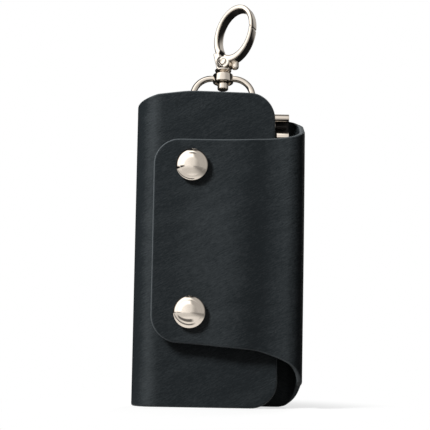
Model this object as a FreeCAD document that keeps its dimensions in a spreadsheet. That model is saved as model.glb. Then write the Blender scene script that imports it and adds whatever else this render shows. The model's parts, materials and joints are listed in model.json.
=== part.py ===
# A wrap-round leather key case with a row of key hooks and a swivel snap hook.
# Millimetres and degrees. +Z is up, the front faces -Y, the origin is the middle of the lower edge.

import FreeCAD
import Part
import Sketcher
import math
import os
import re

# Driving dimensions, one cell each
DIMENSIONS = {
    # leather sheet and the layers of the closed case
    "case_width": 63.0,
    "leather": 2.0,
    "interior_depth": 11.0,
    "flap_standoff": 3.0,
    "left_back_radius": 6.0,
    "left_front_radius": 8.0,
    "right_back_radius": 6.0,
    "right_front_radius": 9.0,
    "back_drop": 8.8,
    "back_turn": 4.5,
    "back_turn_radius": 10.0,
    "back_fold_bottom": 1.9,
    "trim_overrun": 3.0,
    # inner flap
    "inner_height": 117.7,
    "inner_crest": 11.5,
    "inner_fold_dip": 1.5,
    "inner_corner_dip": 0.7,
    "inner_top_setback": 11.2,
    "inner_bottom_setback": 8.8,
    "inner_top_radius": 9.5,
    "inner_bottom_radius": 10.0,
    "inner_crest_radius": 60.0,
    # outer flap
    "outer_drop": 9.9,
    "outer_fold_rise": 0.5,
    "outer_setback": 7.1,
    "outer_bottom": 24.0,
    "outer_turn": 6.7,
    "outer_turn_drop": 3.0,
    "outer_fold_drop": 6.4,
    "outer_corner_radius": 9.5,
    "outer_turn_radius": 20.0,
    # snap fasteners
    "snap_setback": 14.1,
    "snap_top_margin": 10.4,
    "snap_bottom_margin": 10.7,
    "cap_diameter": 12.5,
    "cap_height": 3.6,
    "cap_rim": 0.8,
    "post_diameter": 3.2,
    "post_flare": 0.7,
    "post_flare_thickness": 0.25,
    "socket_diameter": 10.4,
    "socket_floor": 0.5,
    "socket_bore": 5.5,
    "snap_gap": 0.2,
    "stud_flange_diameter": 9.2,
    "stud_flange": 0.6,
    "stud_diameter": 4.6,
    "stud_neck_diameter": 3.9,
    "stud_neck": 0.4,
    "stud_height": 1.35,
    "eyelet_diameter": 9.0,
    "eyelet_flange": 0.7,
    # key bar
    "bar_end_margin": 0.1,
    "bar_height": 9.6,
    "bar_proud": 1.6,
    "bar_depth": 5.6,
    "bar_sheet": 0.9,
    "bar_lip": 2.6,
    "bar_roll_radius": 2.0,
    "bar_tab_inset": 1.6,
    "notch_clearance": 0.5,
    "rod_diameter": 1.8,
    "rod_end": 0.5,
    "knuckle_width": 12.0,
    "knuckle_sink": 0.3,
    "knuckle_clearance": 0.12,
    # rivets of the key bar
    "rivet_shank": 2.0,
    "rivet_inner_diameter": 3.0,
    "rivet_inner_height": 0.7,
    "rivet_head_diameter": 6.0,
    "rivet_head_height": 0.9,
    # key hooks
    "hook_count": 6,
    "hook_margin": 6.65,
    "hook_width": 4.0,
    "hook_strip": 0.9,
    "hook_length": 27.0,
    "hook_throat": 4.4,
    "hook_tip": 5.5,
    "eye_clearance": 0.1,
    "eye_standoff": 0.4,
    "pivot_drop": 6.6,
    "pivot_forward": 1.5,
    "pivot_ear_radius": 1.1,
    "pivot_pin_radius": 0.45,
    "pivot_clearance": 0.06,
    "gate_width": 2.1,
    "gate_side_gap": 0.1,
    "gate_strip": 0.7,
    "gate_overlap": 2.0,
    "gate_rest_gap": 0.1,
    # swivel loop
    "loop_x": 0.6,
    "loop_lean_angle": 10.0,
    "loop_wire": 2.4,
    "loop_inner_width": 20.4,
    "loop_height": 14.9,
    "loop_top_radius": 7.3,
    "loop_bottom_radius": 3.0,
    "boss_diameter": 7.9,
    "boss_proud": 0.4,
    "boss_height": 3.4,
    "boss_edge": 0.5,
    "boss_recess_diameter": 6.0,
    "boss_recess": 0.9,
    "stem_clearance": 0.1,
    # snap hook, measured in its own plane from the top of the boss
    "snap_turn_angle": 25.0,
    "hook_overhang": 3.56,
    "stem_diameter": 3.0,
    "stem_end_diameter": 4.2,
    "stem_end_height": 3.6,
    "collar_diameter": 4.0,
    "collar_height": 1.5,
    "ring_depth": 5.0,
    "ring_edge": 0.6,
    "ring_x": 4.92,
    "ring_z": 15.77,
    "ring_long": 11.97,
    "ring_short": 7.71,
    "ring_lean_angle": 16.8,
    "eye_x": 5.11,
    "eye_z": 16.28,
    "eye_long": 9.35,
    "eye_short": 6.24,
    "eye_lean_angle": 15.7,
    "pin_x": 1.1,
    "pin_z": 4.4,
    "pin_diameter": 1.6,
    "pin_head_diameter": 2.7,
    "pin_head_height": 0.35,
    "pin_clearance": 0.05,
    "ear_radius": 2.4,
    "ear_clearance": 0.2,
    "heel_x": 4.2,
    "heel_z": 2.6,
    "heel_radius": 2.3,
    "tongue_width": 2.2,
    "tongue_clearance": 0.1,
    "base_left": 1.6,
    "base_right": 1.5,
    "base_shoulder_x": 3.3,
    "base_shoulder_z": 8.45,
    "nose_inner_x": 11.6,
    "nose_inner_z": 18.3,
    "nose_step_x": 12.6,
    "nose_step_z": 17.3,
    "nose_outer_x": 14.5,
    "nose_outer_z": 14.8,
    "nose_gap": 0.15,
    "gate_travel_angle": 25.0,
    "gate_spare_angle": 4.0,
}

# Points nearer than this are the same point
MATCH = 1e-4

# Places worked out from the dimensions
DERIVED = {
    "total_depth": "rivet_head_height + 3 * leather + interior_depth + flap_standoff + cap_height",
    "back_outer": "(total_depth - hook_overhang) / 2 - rivet_head_height",
    "back_inner": "back_outer - leather",
    "inner_back": "back_inner - interior_depth",
    "inner_front": "inner_back - leather",
    "outer_back": "inner_front - flap_standoff",
    "outer_front": "outer_back - leather",
    "back_left_x": "left_back_radius - case_width / 2",
    "inner_left_x": "left_front_radius - case_width / 2",
    "back_right_x": "case_width / 2 - right_back_radius",
    "outer_right_x": "case_width / 2 - right_front_radius",
    "back_top": "inner_height - back_drop",
    "back_turn_x": "back_right_x - back_turn",
    "inner_crest_x": "inner_left_x + inner_crest",
    "inner_fold_top": "inner_height - inner_fold_dip",
    "inner_corner_top": "inner_height - inner_corner_dip",
    "inner_edge_top_x": "case_width / 2 - inner_top_setback",
    "inner_edge_bottom_x": "case_width / 2 - inner_bottom_setback",
    "outer_top": "back_top - outer_drop",
    "outer_fold_top": "outer_top + outer_fold_rise",
    "outer_edge_x": "outer_setback - case_width / 2",
    "outer_turn_x": "outer_right_x - outer_turn",
    "outer_turn_z": "outer_bottom - outer_turn_drop",
    "outer_fold_bottom": "outer_bottom - outer_fold_drop",
    "snap_x": "outer_edge_x + snap_setback",
    "snap_high": "outer_top - snap_top_margin",
    "snap_low": "outer_bottom + snap_bottom_margin",
    "cap_radius": "cap_diameter / 2",
    "cap_dome": "cap_height - cap_rim",
    "cap_dome_radius": "(cap_radius ^ 2 + cap_dome ^ 2) / (2 * cap_dome)",
    "post_radius": "post_diameter / 2",
    "flare_radius": "post_radius + post_flare",
    "socket_height": "flap_standoff - stud_flange - snap_gap",
    "bar_length": "back_right_x - back_left_x - 2 * bar_end_margin",
    "bar_x": "(back_left_x + back_right_x) / 2",
    "bar_bottom": "back_top + bar_proud - bar_height",
    "hook_pitch": "(bar_length - 2 * hook_margin) / (hook_count - 1)",
    "rod_radius": "rod_diameter / 2",
    "eye_inner": "rod_radius + eye_clearance",
    "eye_outer": "eye_inner + hook_strip",
    "rod_forward": "bar_sheet + eye_standoff + eye_outer",
    "rod_y": "back_inner - rod_forward",
    "rod_z": "bar_bottom + bar_height / 2",
    "rivet_radius": "rivet_head_diameter / 2",
    "rivet_dome_radius": "(rivet_radius ^ 2 + rivet_head_height ^ 2) / (2 * rivet_head_height)",
    "throat_radius": "hook_throat / 2",
    "bend_radius": "throat_radius + hook_strip",
    "bend_forward": "bend_radius - eye_outer",
    "bend_drop": "hook_length - bend_radius",
    "tip_back": "bend_forward + throat_radius",
    "tip_front": "bend_forward + bend_radius",
    "tip_drop": "bend_drop - hook_tip",
    "gate_drop": "tip_drop + gate_overlap",
    "gate_front": "tip_back - gate_rest_gap",
    "knuckle_inner": "loop_wire / 2 + knuckle_clearance",
    "knuckle_outer": "knuckle_inner + bar_sheet",
    "knuckle_rise": "bar_height + knuckle_outer - knuckle_sink",
    "loop_y": "back_inner - knuckle_outer",
    "loop_z": "bar_bottom + knuckle_rise",
    "loop_half": "(loop_inner_width + loop_wire) / 2",
    "loop_rise": "loop_height - loop_wire",
    "boss_rise": "loop_height - loop_wire / 2 + boss_proud",
    "stem_radius": "stem_diameter / 2",
    "stem_length": "boss_height - boss_recess + stem_clearance",
    "pin_radius": "pin_diameter / 2",
    "pin_grip": "ring_depth + 2 * pin_clearance",
    "ear_pocket": "ear_radius + ear_clearance",
    "slot_width": "tongue_width + 2 * tongue_clearance",
    "frame_reach": "2 * ring_long",
}

doc = FreeCAD.newDocument("key_case")
sheet = doc.addObject("Spreadsheet::Sheet", "dims")
for row, (alias, number) in enumerate(DIMENSIONS.items(), start=1):
    sheet.set("A%d" % row, alias.replace("_", " "))
    sheet.set("B%d" % row, str(number))
    sheet.setAlias("B%d" % row, alias)
doc.recompute()


def formula(text):
    """Write a formula in dimension names as an expression on the sheet's cells."""

    def swap(match):
        word = match.group(0)
        if word in DERIVED:
            return "(" + formula(DERIVED[word]) + ")"
        if word in DIMENSIONS:
            return "dims." + word
        return word

    return re.sub(r"[a-z_]+", swap, text)


def size(text):
    """The number that a formula in dimension names stands for."""
    return float(sheet.evalExpression(formula(text)))


def bind(target, path, text):
    target.setExpression(path, formula(text))


# Building blocks


def new_body(label):
    body = doc.addObject("PartDesign::Body", label)
    body.Label = label
    return body


def place(body, x="0", y="0", z="0"):
    for axis, text in (("x", x), ("y", y), ("z", z)):
        bind(body, "Placement.Base." + axis, text)


def new_sketch(body, name, role):
    plane = [item for item in body.Origin.OriginFeatures if item.Role == role][0]
    sketch = body.newObject("Sketcher::SketchObject", body.Label + "_" + name)
    sketch.AttachmentSupport = [(plane, "")]
    sketch.MapMode = "FlatFace"
    return sketch


def hold_point(sketch, item, point, x, y):
    """Fix one point of a sketch at two formulas."""
    for kind, text in (("DistanceX", x), ("DistanceY", y)):
        number = sketch.addConstraint(Sketcher.Constraint(kind, item, point, size(text)))
        bind(sketch, "Constraints[%d]" % number, text)


def arc_between(start, end, radius, side):
    """An arc of less than a half turn, or just one, on the left (1) or right (-1) of start to end."""
    chord = end - start
    half = chord.Length / 2
    rise = math.sqrt(max(radius * radius - half * half, 0))
    across = FreeCAD.Vector(-chord.y, chord.x, 0).normalize()
    centre = (start + end) / 2 - across * rise * side
    circle = Part.Circle(centre, FreeCAD.Vector(0, 0, 1), radius)
    first, last = (start, end) if side < 0 else (end, start)
    angles = [math.atan2(p.y - centre.y, p.x - centre.x) for p in (first, last)]
    return Part.ArcOfCircle(circle, angles[0], angles[1])


def outline(sketch, corners):
    """A closed outline; a corner may carry (radius, side) of the arc that leaves it."""
    points = [FreeCAD.Vector(size(c[0]), size(c[1]), 0) for c in corners]
    starts, ends = [], []
    for number, corner in enumerate(corners):
        here = points[number]
        there = points[(number + 1) % len(points)]
        if len(corner) == 2:
            item = sketch.addGeometry(Part.LineSegment(here, there))
            starts.append((item, 1))
            ends.append((item, 2))
            continue
        radius, side = corner[2:]
        item = sketch.addGeometry(arc_between(here, there, size(radius), side))
        starts.append((item, 1 if side < 0 else 2))
        ends.append((item, 2 if side < 0 else 1))
    for number, corner in enumerate(corners):
        after = starts[(number + 1) % len(corners)]
        sketch.addConstraint(Sketcher.Constraint("Coincident", *ends[number], *after))
        hold_point(sketch, *starts[number], corner[0], corner[1])
        half = (points[(number + 1) % len(points)] - points[number]).Length / 2
        if len(corner) > 2 and size(corner[2]) > half * 1.0001:
            fixed = Sketcher.Constraint("Radius", starts[number][0], size(corner[2]))
            bind(sketch, "Constraints[%d]" % sketch.addConstraint(fixed), corner[2])


def circle(sketch, x, y, radius):
    middle = FreeCAD.Vector(size(x), size(y), 0)
    item = sketch.addGeometry(Part.Circle(middle, FreeCAD.Vector(0, 0, 1), size(radius)))
    hold_point(sketch, item, 3, x, y)
    number = sketch.addConstraint(Sketcher.Constraint("Radius", item, size(radius)))
    bind(sketch, "Constraints[%d]" % number, radius)


def ellipse(sketch, x, y, long, short, lean):
    """An ellipse whose long axis leans to the right of upright."""
    middle = FreeCAD.Vector(size(x), size(y), 0)
    angle = math.radians(size(lean))
    along = FreeCAD.Vector(math.sin(angle), math.cos(angle), 0)
    across = FreeCAD.Vector(-math.cos(angle), math.sin(angle), 0)
    curve = Part.Ellipse(middle + along * size(long), middle + across * size(short), middle)
    item = sketch.addGeometry(curve)
    sketch.exposeInternalGeometry(item)
    hold_point(sketch, item, 3, x, y)
    for line, text in ((item + 1, "2 * " + long), (item + 2, "2 * " + short)):
        number = sketch.addConstraint(Sketcher.Constraint("Distance", line, size(text)))
        bind(sketch, "Constraints[%d]" % number, text)
    line = sketch.Geometry[item + 1]
    first, last = (1, 2) if line.EndPoint.y > line.StartPoint.y else (2, 1)
    fixed = Sketcher.Constraint("Angle", -2, 1, item + 1, first, -angle)
    number = sketch.addConstraint(fixed)
    bind(sketch, "Constraints[%d]" % number, "-" + lean)


def volume_of(body):
    doc.recompute()
    return body.Shape.Volume


def pad(sketch, length, both_sides=False, backwards=False):
    body = sketch.getParentGeoFeatureGroup()
    feature = body.newObject("PartDesign::Pad", sketch.Label + "_pad")
    feature.Profile = sketch
    bind(feature, "Length", length)
    feature.SideType = "Symmetric" if both_sides else "One side"
    feature.Reversed = backwards
    doc.recompute()
    return feature


def pocket(sketch, length, both_sides=False, backwards=False):
    """Cut a sketch out of its body and make sure that it cuts something."""
    body = sketch.getParentGeoFeatureGroup()
    before = volume_of(body)
    feature = body.newObject("PartDesign::Pocket", sketch.Label + "_cut")
    feature.Profile = sketch
    bind(feature, "Length", length)
    feature.SideType = "Symmetric" if both_sides else "One side"
    feature.Reversed = backwards
    if not volume_of(body) < before:
        raise RuntimeError(feature.Label + " cuts nothing")
    return feature


def revolve(sketch):
    body = sketch.getParentGeoFeatureGroup()
    feature = body.newObject("PartDesign::Revolution", sketch.Label + "_turn")
    feature.Profile = sketch
    feature.ReferenceAxis = (sketch, ["V_Axis"])
    doc.recompute()
    return feature


def fillet(body, name, chosen, radius):
    """Round the edges of a body's last feature that a test picks."""
    doc.recompute()
    base = body.Tip
    names = ["Edge%d" % n for n, edge in enumerate(base.Shape.Edges, start=1) if chosen(edge)]
    if not names:
        raise RuntimeError(body.Label + " has no edge for " + name)
    feature = body.newObject("PartDesign::Fillet", body.Label + "_" + name)
    feature.Base = (base, names)
    bind(feature, "Radius", radius)
    doc.recompute()


def upright_at(x, z):
    """Pick the edge that runs straight through a panel at one corner of its outline."""
    corner = FreeCAD.Vector(size(x), 0, size(z))

    def chosen(edge):
        ends = [vertex.Point for vertex in edge.Vertexes]
        flat = [FreeCAD.Vector(p.x, 0, p.z) for p in ends]
        return len(ends) == 2 and all((p - corner).Length < MATCH for p in flat)

    return chosen


# Leather sheet


def panel(label, back, corners, rounds, holes):
    """A flat stretch of the sheet with rounded corners and the holes that its hardware needs."""
    body = new_body(label)
    sketch = new_sketch(body, "outline", "XZ_Plane")
    outline(sketch, corners)
    pad(sketch, "leather")
    for number, (x, z, radius) in enumerate(rounds):
        fillet(body, "corner_%d" % number, upright_at(x, z), radius)
    cut = new_sketch(body, "holes", "XZ_Plane")
    for x, z, radius in holes:
        circle(cut, x, z, radius)
    pocket(cut, "2 * leather", both_sides=True)
    place(body, y=back)
    return body


SNAPS = (("1", "snap_high"), ("2", "snap_low"))
snap_holes = [("snap_x", height, "post_radius") for _, height in SNAPS]
rivet_places = ("(-hook_pitch)", "hook_pitch")
rivet_holes = [("bar_x + " + x, "rod_z", "rivet_shank / 2") for x in rivet_places]

panel(
    "back_panel",
    "back_outer",
    [
        ("back_left_x", "0"),
        ("back_turn_x", "0"),
        ("back_right_x", "back_fold_bottom"),
        ("back_right_x", "back_top"),
        ("back_left_x", "back_top"),
    ],
    [("back_turn_x", "0", "back_turn_radius")],
    rivet_holes,
)
panel(
    "inner_flap",
    "inner_back",
    [
        ("inner_left_x", "0"),
        ("inner_edge_bottom_x", "0"),
        ("inner_edge_top_x", "inner_corner_top"),
        ("inner_crest_x", "inner_height"),
        ("inner_left_x", "inner_fold_top"),
    ],
    [
        ("inner_edge_bottom_x", "0", "inner_bottom_radius"),
        ("inner_edge_top_x", "inner_corner_top", "inner_top_radius"),
        ("inner_crest_x", "inner_height", "inner_crest_radius"),
    ],
    snap_holes,
)
panel(
    "outer_flap",
    "outer_back",
    [
        ("outer_right_x", "outer_fold_bottom"),
        ("outer_right_x", "outer_fold_top"),
        ("outer_edge_x", "outer_top"),
        ("outer_edge_x", "outer_bottom"),
        ("outer_turn_x", "outer_turn_z"),
    ],
    [
        ("outer_edge_x", "outer_top", "outer_corner_radius"),
        ("outer_edge_x", "outer_bottom", "outer_corner_radius"),
        ("outer_turn_x", "outer_turn_z", "outer_turn_radius"),
    ],
    snap_holes,
)


def fold_walk(front, back_radius, front_radius):
    """Places round the outside of a fold: (depth, share of the way from back to front)."""
    middle = size("leather") / 2
    quarter_shares = (0, 0.12, 0.4, 0.7, 1)
    first = (size(back_radius) - middle) * math.pi / 2
    last = (size(front_radius) - middle) * math.pi / 2
    straight = size("back_outer") - size(front) - size(back_radius) - size(front_radius)
    whole = first + straight + last
    walk = []
    for share in quarter_shares:
        drop = size(back_radius) * (1 - math.cos(share * math.pi / 2))
        walk.append((size("back_outer") - drop, share * first / whole))
    for share in reversed(quarter_shares):
        rise = size(front_radius) * (1 - math.cos(share * math.pi / 2))
        walk.append((size(front) + rise, 1 - share * last / whole))
    return walk


def slanted_trim(sketch, walk, back_height, front_height, beyond):
    """Outline what lies past an edge that climbs evenly round a fold, from back to front."""
    climb = size(front_height) - size(back_height)
    points = [FreeCAD.Vector(depth, size(back_height) + climb * share, 0) for depth, share in walk]
    curve = Part.BSplineCurve()
    curve.interpolate(points)
    sketch.addGeometry(curve)
    back = points[0].x + size("trim_overrun")
    front = points[-1].x - size("trim_overrun")
    corners = [points[-1]]
    corners.append(FreeCAD.Vector(front, points[-1].y, 0))
    corners.append(FreeCAD.Vector(front, size(beyond), 0))
    corners.append(FreeCAD.Vector(back, size(beyond), 0))
    corners.append(FreeCAD.Vector(back, points[0].y, 0))
    corners.append(points[0])
    for start, end in zip(corners, corners[1:]):
        sketch.addGeometry(Part.LineSegment(start, end))


def fold(label, side, front, back_radius, front_radius, height, trims):
    """The sheet turned about two upright corners, trimmed at its slanted edges."""
    body = new_body(label)
    sketch = new_sketch(body, "turn", "XY_Plane")
    sign = "" if side > 0 else "-"
    outside = sign + "case_width / 2"
    inside = sign + "(case_width / 2 - leather)"
    back_x = sign + "(case_width / 2 - " + back_radius + ")"
    front_x = sign + "(case_width / 2 - " + front_radius + ")"
    back_y, front_y = "back_outer - " + back_radius, front + " + " + front_radius
    outline(
        sketch,
        [
            (back_x, "back_outer", back_radius, side),
            (outside, back_y),
            (outside, front_y, front_radius, side),
            (front_x, front),
            (front_x, front + " + leather", front_radius + " - leather", -side),
            (inside, front_y),
            (inside, back_y, back_radius + " - leather", -side),
            (back_x, "back_inner"),
        ],
    )
    pad(sketch, height)
    walk = fold_walk(front, back_radius, front_radius)
    for name, back_height, front_height, beyond in trims:
        cut = new_sketch(body, name, "YZ_Plane")
        slanted_trim(cut, walk, back_height, front_height, beyond)
        pocket(cut, "2 * case_width", both_sides=True)


fold(
    "left_fold", -1, "inner_front", "left_back_radius", "left_front_radius", "inner_fold_top",
    [("top", "back_top", "inner_fold_top", "inner_fold_top + trim_overrun")],
)
fold(
    "right_fold", 1, "outer_front", "right_back_radius", "right_front_radius", "back_top",
    [
        ("top", "back_top", "outer_fold_top", "back_top + trim_overrun"),
        ("bottom", "back_fold_bottom", "outer_fold_bottom", "-trim_overrun"),
    ],
)

# Snap fasteners


def turned(label, corners, x, y, z):
    """A piece turned about an axis that runs front to back; corners are (radius, distance to the back)."""
    body = new_body(label)
    sketch = new_sketch(body, "profile", "XY_Plane")
    outline(sketch, corners)
    revolve(sketch)
    place(body, x, y, z)
    return body


for number, height in SNAPS:
    turned(
        "snap_cap_" + number,
        [
            ("0", "-cap_height", "cap_dome_radius", -1),
            ("cap_radius", "-cap_rim"),
            ("cap_radius", "0"),
            ("post_radius", "0"),
            ("post_radius", "leather + socket_floor"),
            ("flare_radius", "leather + socket_floor"),
            ("flare_radius", "leather + socket_floor + post_flare_thickness"),
            ("0", "leather + socket_floor + post_flare_thickness"),
        ],
        "snap_x", "outer_front", height,
    )
    turned(
        "snap_socket_" + number,
        [
            ("post_radius", "0"),
            ("socket_diameter / 2", "0"),
            ("socket_diameter / 2", "socket_height"),
            ("socket_bore / 2", "socket_height"),
            ("socket_bore / 2", "socket_floor"),
            ("post_radius", "socket_floor"),
        ],
        "snap_x", "outer_back", height,
    )
    turned(
        "snap_stud_" + number,
        [
            ("0", "-stud_flange - stud_height"),
            ("stud_neck_diameter / 2", "-stud_flange - stud_height"),
            ("stud_diameter / 2", "-stud_flange - stud_height + stud_neck"),
            ("stud_neck_diameter / 2", "-stud_flange - stud_neck"),
            ("stud_neck_diameter / 2", "-stud_flange"),
            ("stud_flange_diameter / 2", "-stud_flange"),
            ("stud_flange_diameter / 2", "0"),
            ("post_radius", "0"),
            ("post_radius", "-stud_flange"),
            ("0", "-stud_flange"),
        ],
        "snap_x", "inner_front", height,
    )
    turned(
        "snap_eyelet_" + number,
        [
            ("0", "-leather - stud_flange"),
            ("post_radius", "-leather - stud_flange"),
            ("post_radius", "0"),
            ("eyelet_diameter / 2", "0"),
            ("eyelet_diameter / 2", "eyelet_flange"),
            ("0", "eyelet_flange"),
        ],
        "snap_x", "inner_back", height,
    )

# Key bar


def hook_places():
    count = int(size("hook_count"))
    return ["hook_pitch * %.1f" % (n - (count - 1) / 2) for n in range(count)]


def long_edge(depth, heights):
    """Pick the edges along the bar at one depth and two heights of its section."""
    places = [FreeCAD.Vector(0, size(depth), size(height)) for height in heights]

    def chosen(edge):
        middle = edge.CenterOfMass
        near = min((middle - spot).Length for spot in places)
        return edge.Length > size("bar_length") / 2 and near < MATCH

    return chosen


def key_bar():
    """A channel with rolled lips, notched for the hooks, with a rolled knuckle on its top."""
    body = new_body("key_bar")
    section = new_sketch(body, "section", "YZ_Plane")
    lip_back = "-bar_depth + bar_sheet"
    outline(
        section,
        [
            ("0", "0"),
            ("-bar_depth", "0"),
            ("-bar_depth", "bar_lip"),
            (lip_back, "bar_lip"),
            (lip_back, "bar_sheet"),
            ("-bar_sheet", "bar_sheet"),
            ("-bar_sheet", "bar_height - bar_sheet"),
            (lip_back, "bar_height - bar_sheet"),
            (lip_back, "bar_height - bar_lip"),
            ("-bar_depth", "bar_height - bar_lip"),
            ("-bar_depth", "bar_height"),
            ("0", "bar_height"),
        ],
    )
    pad(section, "bar_length", both_sides=True)
    fillet(body, "outer_roll", long_edge("-bar_depth", ("0", "bar_height")), "bar_roll_radius")
    inside = long_edge(lip_back, ("bar_sheet", "bar_height - bar_sheet"))
    fillet(body, "inner_roll", inside, "bar_roll_radius - bar_sheet")
    tabs = new_sketch(body, "tabs", "XY_Plane")
    for side in ("", "-"):
        near = side + "(bar_length / 2 - bar_tab_inset)"
        far = side + "(bar_length / 2 - bar_tab_inset - bar_sheet)"
        corners = [(near, "-bar_sheet"), (far, "-bar_sheet"), (far, lip_back), (near, lip_back)]
        outline(tabs, corners)
    pad(tabs, "bar_height - bar_sheet")
    notches = new_sketch(body, "notches", "XY_Plane")
    half = "(hook_width / 2 + notch_clearance)"
    for x in hook_places():
        left, right = x + " - " + half, x + " + " + half
        reach = "-bar_depth - bar_sheet"
        outline(notches, [(left, "-bar_sheet"), (right, "-bar_sheet"), (right, reach), (left, reach)])
    pocket(notches, "bar_lip", backwards=True)
    bore = new_sketch(body, "rod_bore", "YZ_Plane")
    circle(bore, "-rod_forward", "bar_height / 2", "rod_radius")
    pocket(bore, "bar_length", both_sides=True)
    rivets = new_sketch(body, "rivet_bores", "XZ_Plane")
    for x in rivet_places:
        circle(rivets, x, "bar_height / 2", "rivet_shank / 2")
    pocket(rivets, "2 * bar_sheet", both_sides=True)
    knuckle = new_sketch(body, "knuckle", "YZ_Plane")
    circle(knuckle, "-knuckle_outer", "knuckle_rise", "knuckle_outer")
    pad(knuckle, "knuckle_width", both_sides=True)
    eye = new_sketch(body, "knuckle_bore", "YZ_Plane")
    circle(eye, "-knuckle_outer", "knuckle_rise", "knuckle_inner")
    pocket(eye, "2 * knuckle_width", both_sides=True)
    place(body, "bar_x", "back_inner", "bar_bottom")


def key_rod():
    body = new_body("key_rod")
    sketch = new_sketch(body, "section", "YZ_Plane")
    circle(sketch, "0", "0", "rod_radius")
    pad(sketch, "bar_length - 2 * rod_end", both_sides=True)
    place(body, "bar_x", "rod_y", "rod_z")


key_bar()
key_rod()
for number, x in enumerate(rivet_places, start=1):
    turned(
        "bar_rivet_%d" % number,
        [
            ("0", "-leather - bar_sheet - rivet_inner_height"),
            ("rivet_inner_diameter / 2", "-leather - bar_sheet - rivet_inner_height"),
            ("rivet_inner_diameter / 2", "-leather - bar_sheet"),
            ("rivet_shank / 2", "-leather - bar_sheet"),
            ("rivet_shank / 2", "0"),
            ("rivet_radius", "0", "rivet_dome_radius", -1),
            ("0", "rivet_head_height"),
        ],
        "bar_x + " + x, "back_outer", "rod_z",
    )

# Key hooks: distances run forward from the rod and up from its axis


def key_hook(label, x):
    """A strip rolled round the rod and bent into a hook, with two ears for its gate."""
    body = new_body(label)
    strip = new_sketch(body, "strip", "YZ_Plane")
    outline(
        strip,
        [
            ("eye_outer", "0"),
            ("eye_outer", "-bend_drop", "bend_radius", 1),
            ("-tip_front", "-bend_drop"),
            ("-tip_front", "-tip_drop"),
            ("-tip_back", "-tip_drop"),
            ("-tip_back", "-bend_drop", "throat_radius", -1),
            ("eye_inner", "-bend_drop"),
            ("eye_inner", "0"),
        ],
    )
    pad(strip, "hook_width", both_sides=True)
    ear = new_sketch(body, "ears", "YZ_Plane")
    low, high = "-pivot_drop - pivot_ear_radius", "-pivot_drop + pivot_ear_radius"
    outline(
        ear,
        [
            ("eye_outer", low),
            ("eye_outer", high),
            ("-pivot_forward", high, "pivot_ear_radius", -1),
            ("-pivot_forward", low),
        ],
    )
    pad(ear, "hook_width", both_sides=True)
    slot = new_sketch(body, "slot", "YZ_Plane")
    reach = "-pivot_forward - 2 * pivot_ear_radius"
    deep, tall = "2 * pivot_ear_radius + pivot_drop", "2 * pivot_ear_radius - pivot_drop"
    outline(slot, [("eye_inner", "-(" + deep + ")"), ("eye_inner", tall), (reach, tall), (reach, "-(" + deep + ")")])
    pocket(slot, "gate_width + 2 * gate_side_gap", both_sides=True)
    pin = new_sketch(body, "pin", "YZ_Plane")
    circle(pin, "-pivot_forward", "-pivot_drop", "pivot_pin_radius")
    pad(pin, "hook_width", both_sides=True)
    eye = new_sketch(body, "eye", "YZ_Plane")
    circle(eye, "0", "0", "eye_outer")
    pad(eye, "hook_width", both_sides=True)
    bore = new_sketch(body, "eye_bore", "YZ_Plane")
    circle(bore, "0", "0", "eye_inner")
    pocket(bore, "2 * hook_width", both_sides=True)
    place(body, "bar_x + " + x, "rod_y", "rod_z")


def key_hook_gate(label, x):
    """A sprung strip with a rolled end on the hook's pin, which closes the hook's mouth."""
    body = new_body(label)
    strip = new_sketch(body, "strip", "YZ_Plane")
    outline(
        strip,
        [
            ("-pivot_forward + gate_strip / 2", "-pivot_drop"),
            ("-gate_front + gate_strip", "-gate_drop"),
            ("-gate_front", "-gate_drop"),
            ("-pivot_forward - gate_strip / 2", "-pivot_drop"),
        ],
    )
    pad(strip, "gate_width", both_sides=True)
    roll = new_sketch(body, "roll", "YZ_Plane")
    circle(roll, "-pivot_forward", "-pivot_drop", "pivot_ear_radius")
    pad(roll, "gate_width", both_sides=True)
    bore = new_sketch(body, "bore", "YZ_Plane")
    circle(bore, "-pivot_forward", "-pivot_drop", "pivot_pin_radius + pivot_clearance")
    pocket(bore, "2 * gate_width", both_sides=True)
    place(body, "bar_x + " + x, "rod_y", "rod_z")


for number, x in enumerate(hook_places(), start=1):
    key_hook("key_hook_%d" % number, x)
    key_hook_gate("key_hook_gate_%d" % number, x)

# Swivel loop: it leans back on its lower bar and takes the snap hook with it


def lean_back(body, rise, turn):
    """Place a piece along the leaning line through the loop's bar, turned about that line."""
    across = "loop_y + " + rise + " * sin(loop_lean_angle)"
    height = "loop_z + " + rise + " * cos(loop_lean_angle)"
    spot = "vector(loop_x; " + across + "; " + height + ")"
    way = "rotation(vector(-1; 0; 0); loop_lean_angle) * rotation(vector(0; 0; -1); " + turn + ")"
    bind(body, "Placement", "placement(" + spot + "; " + way + ")")


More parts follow.
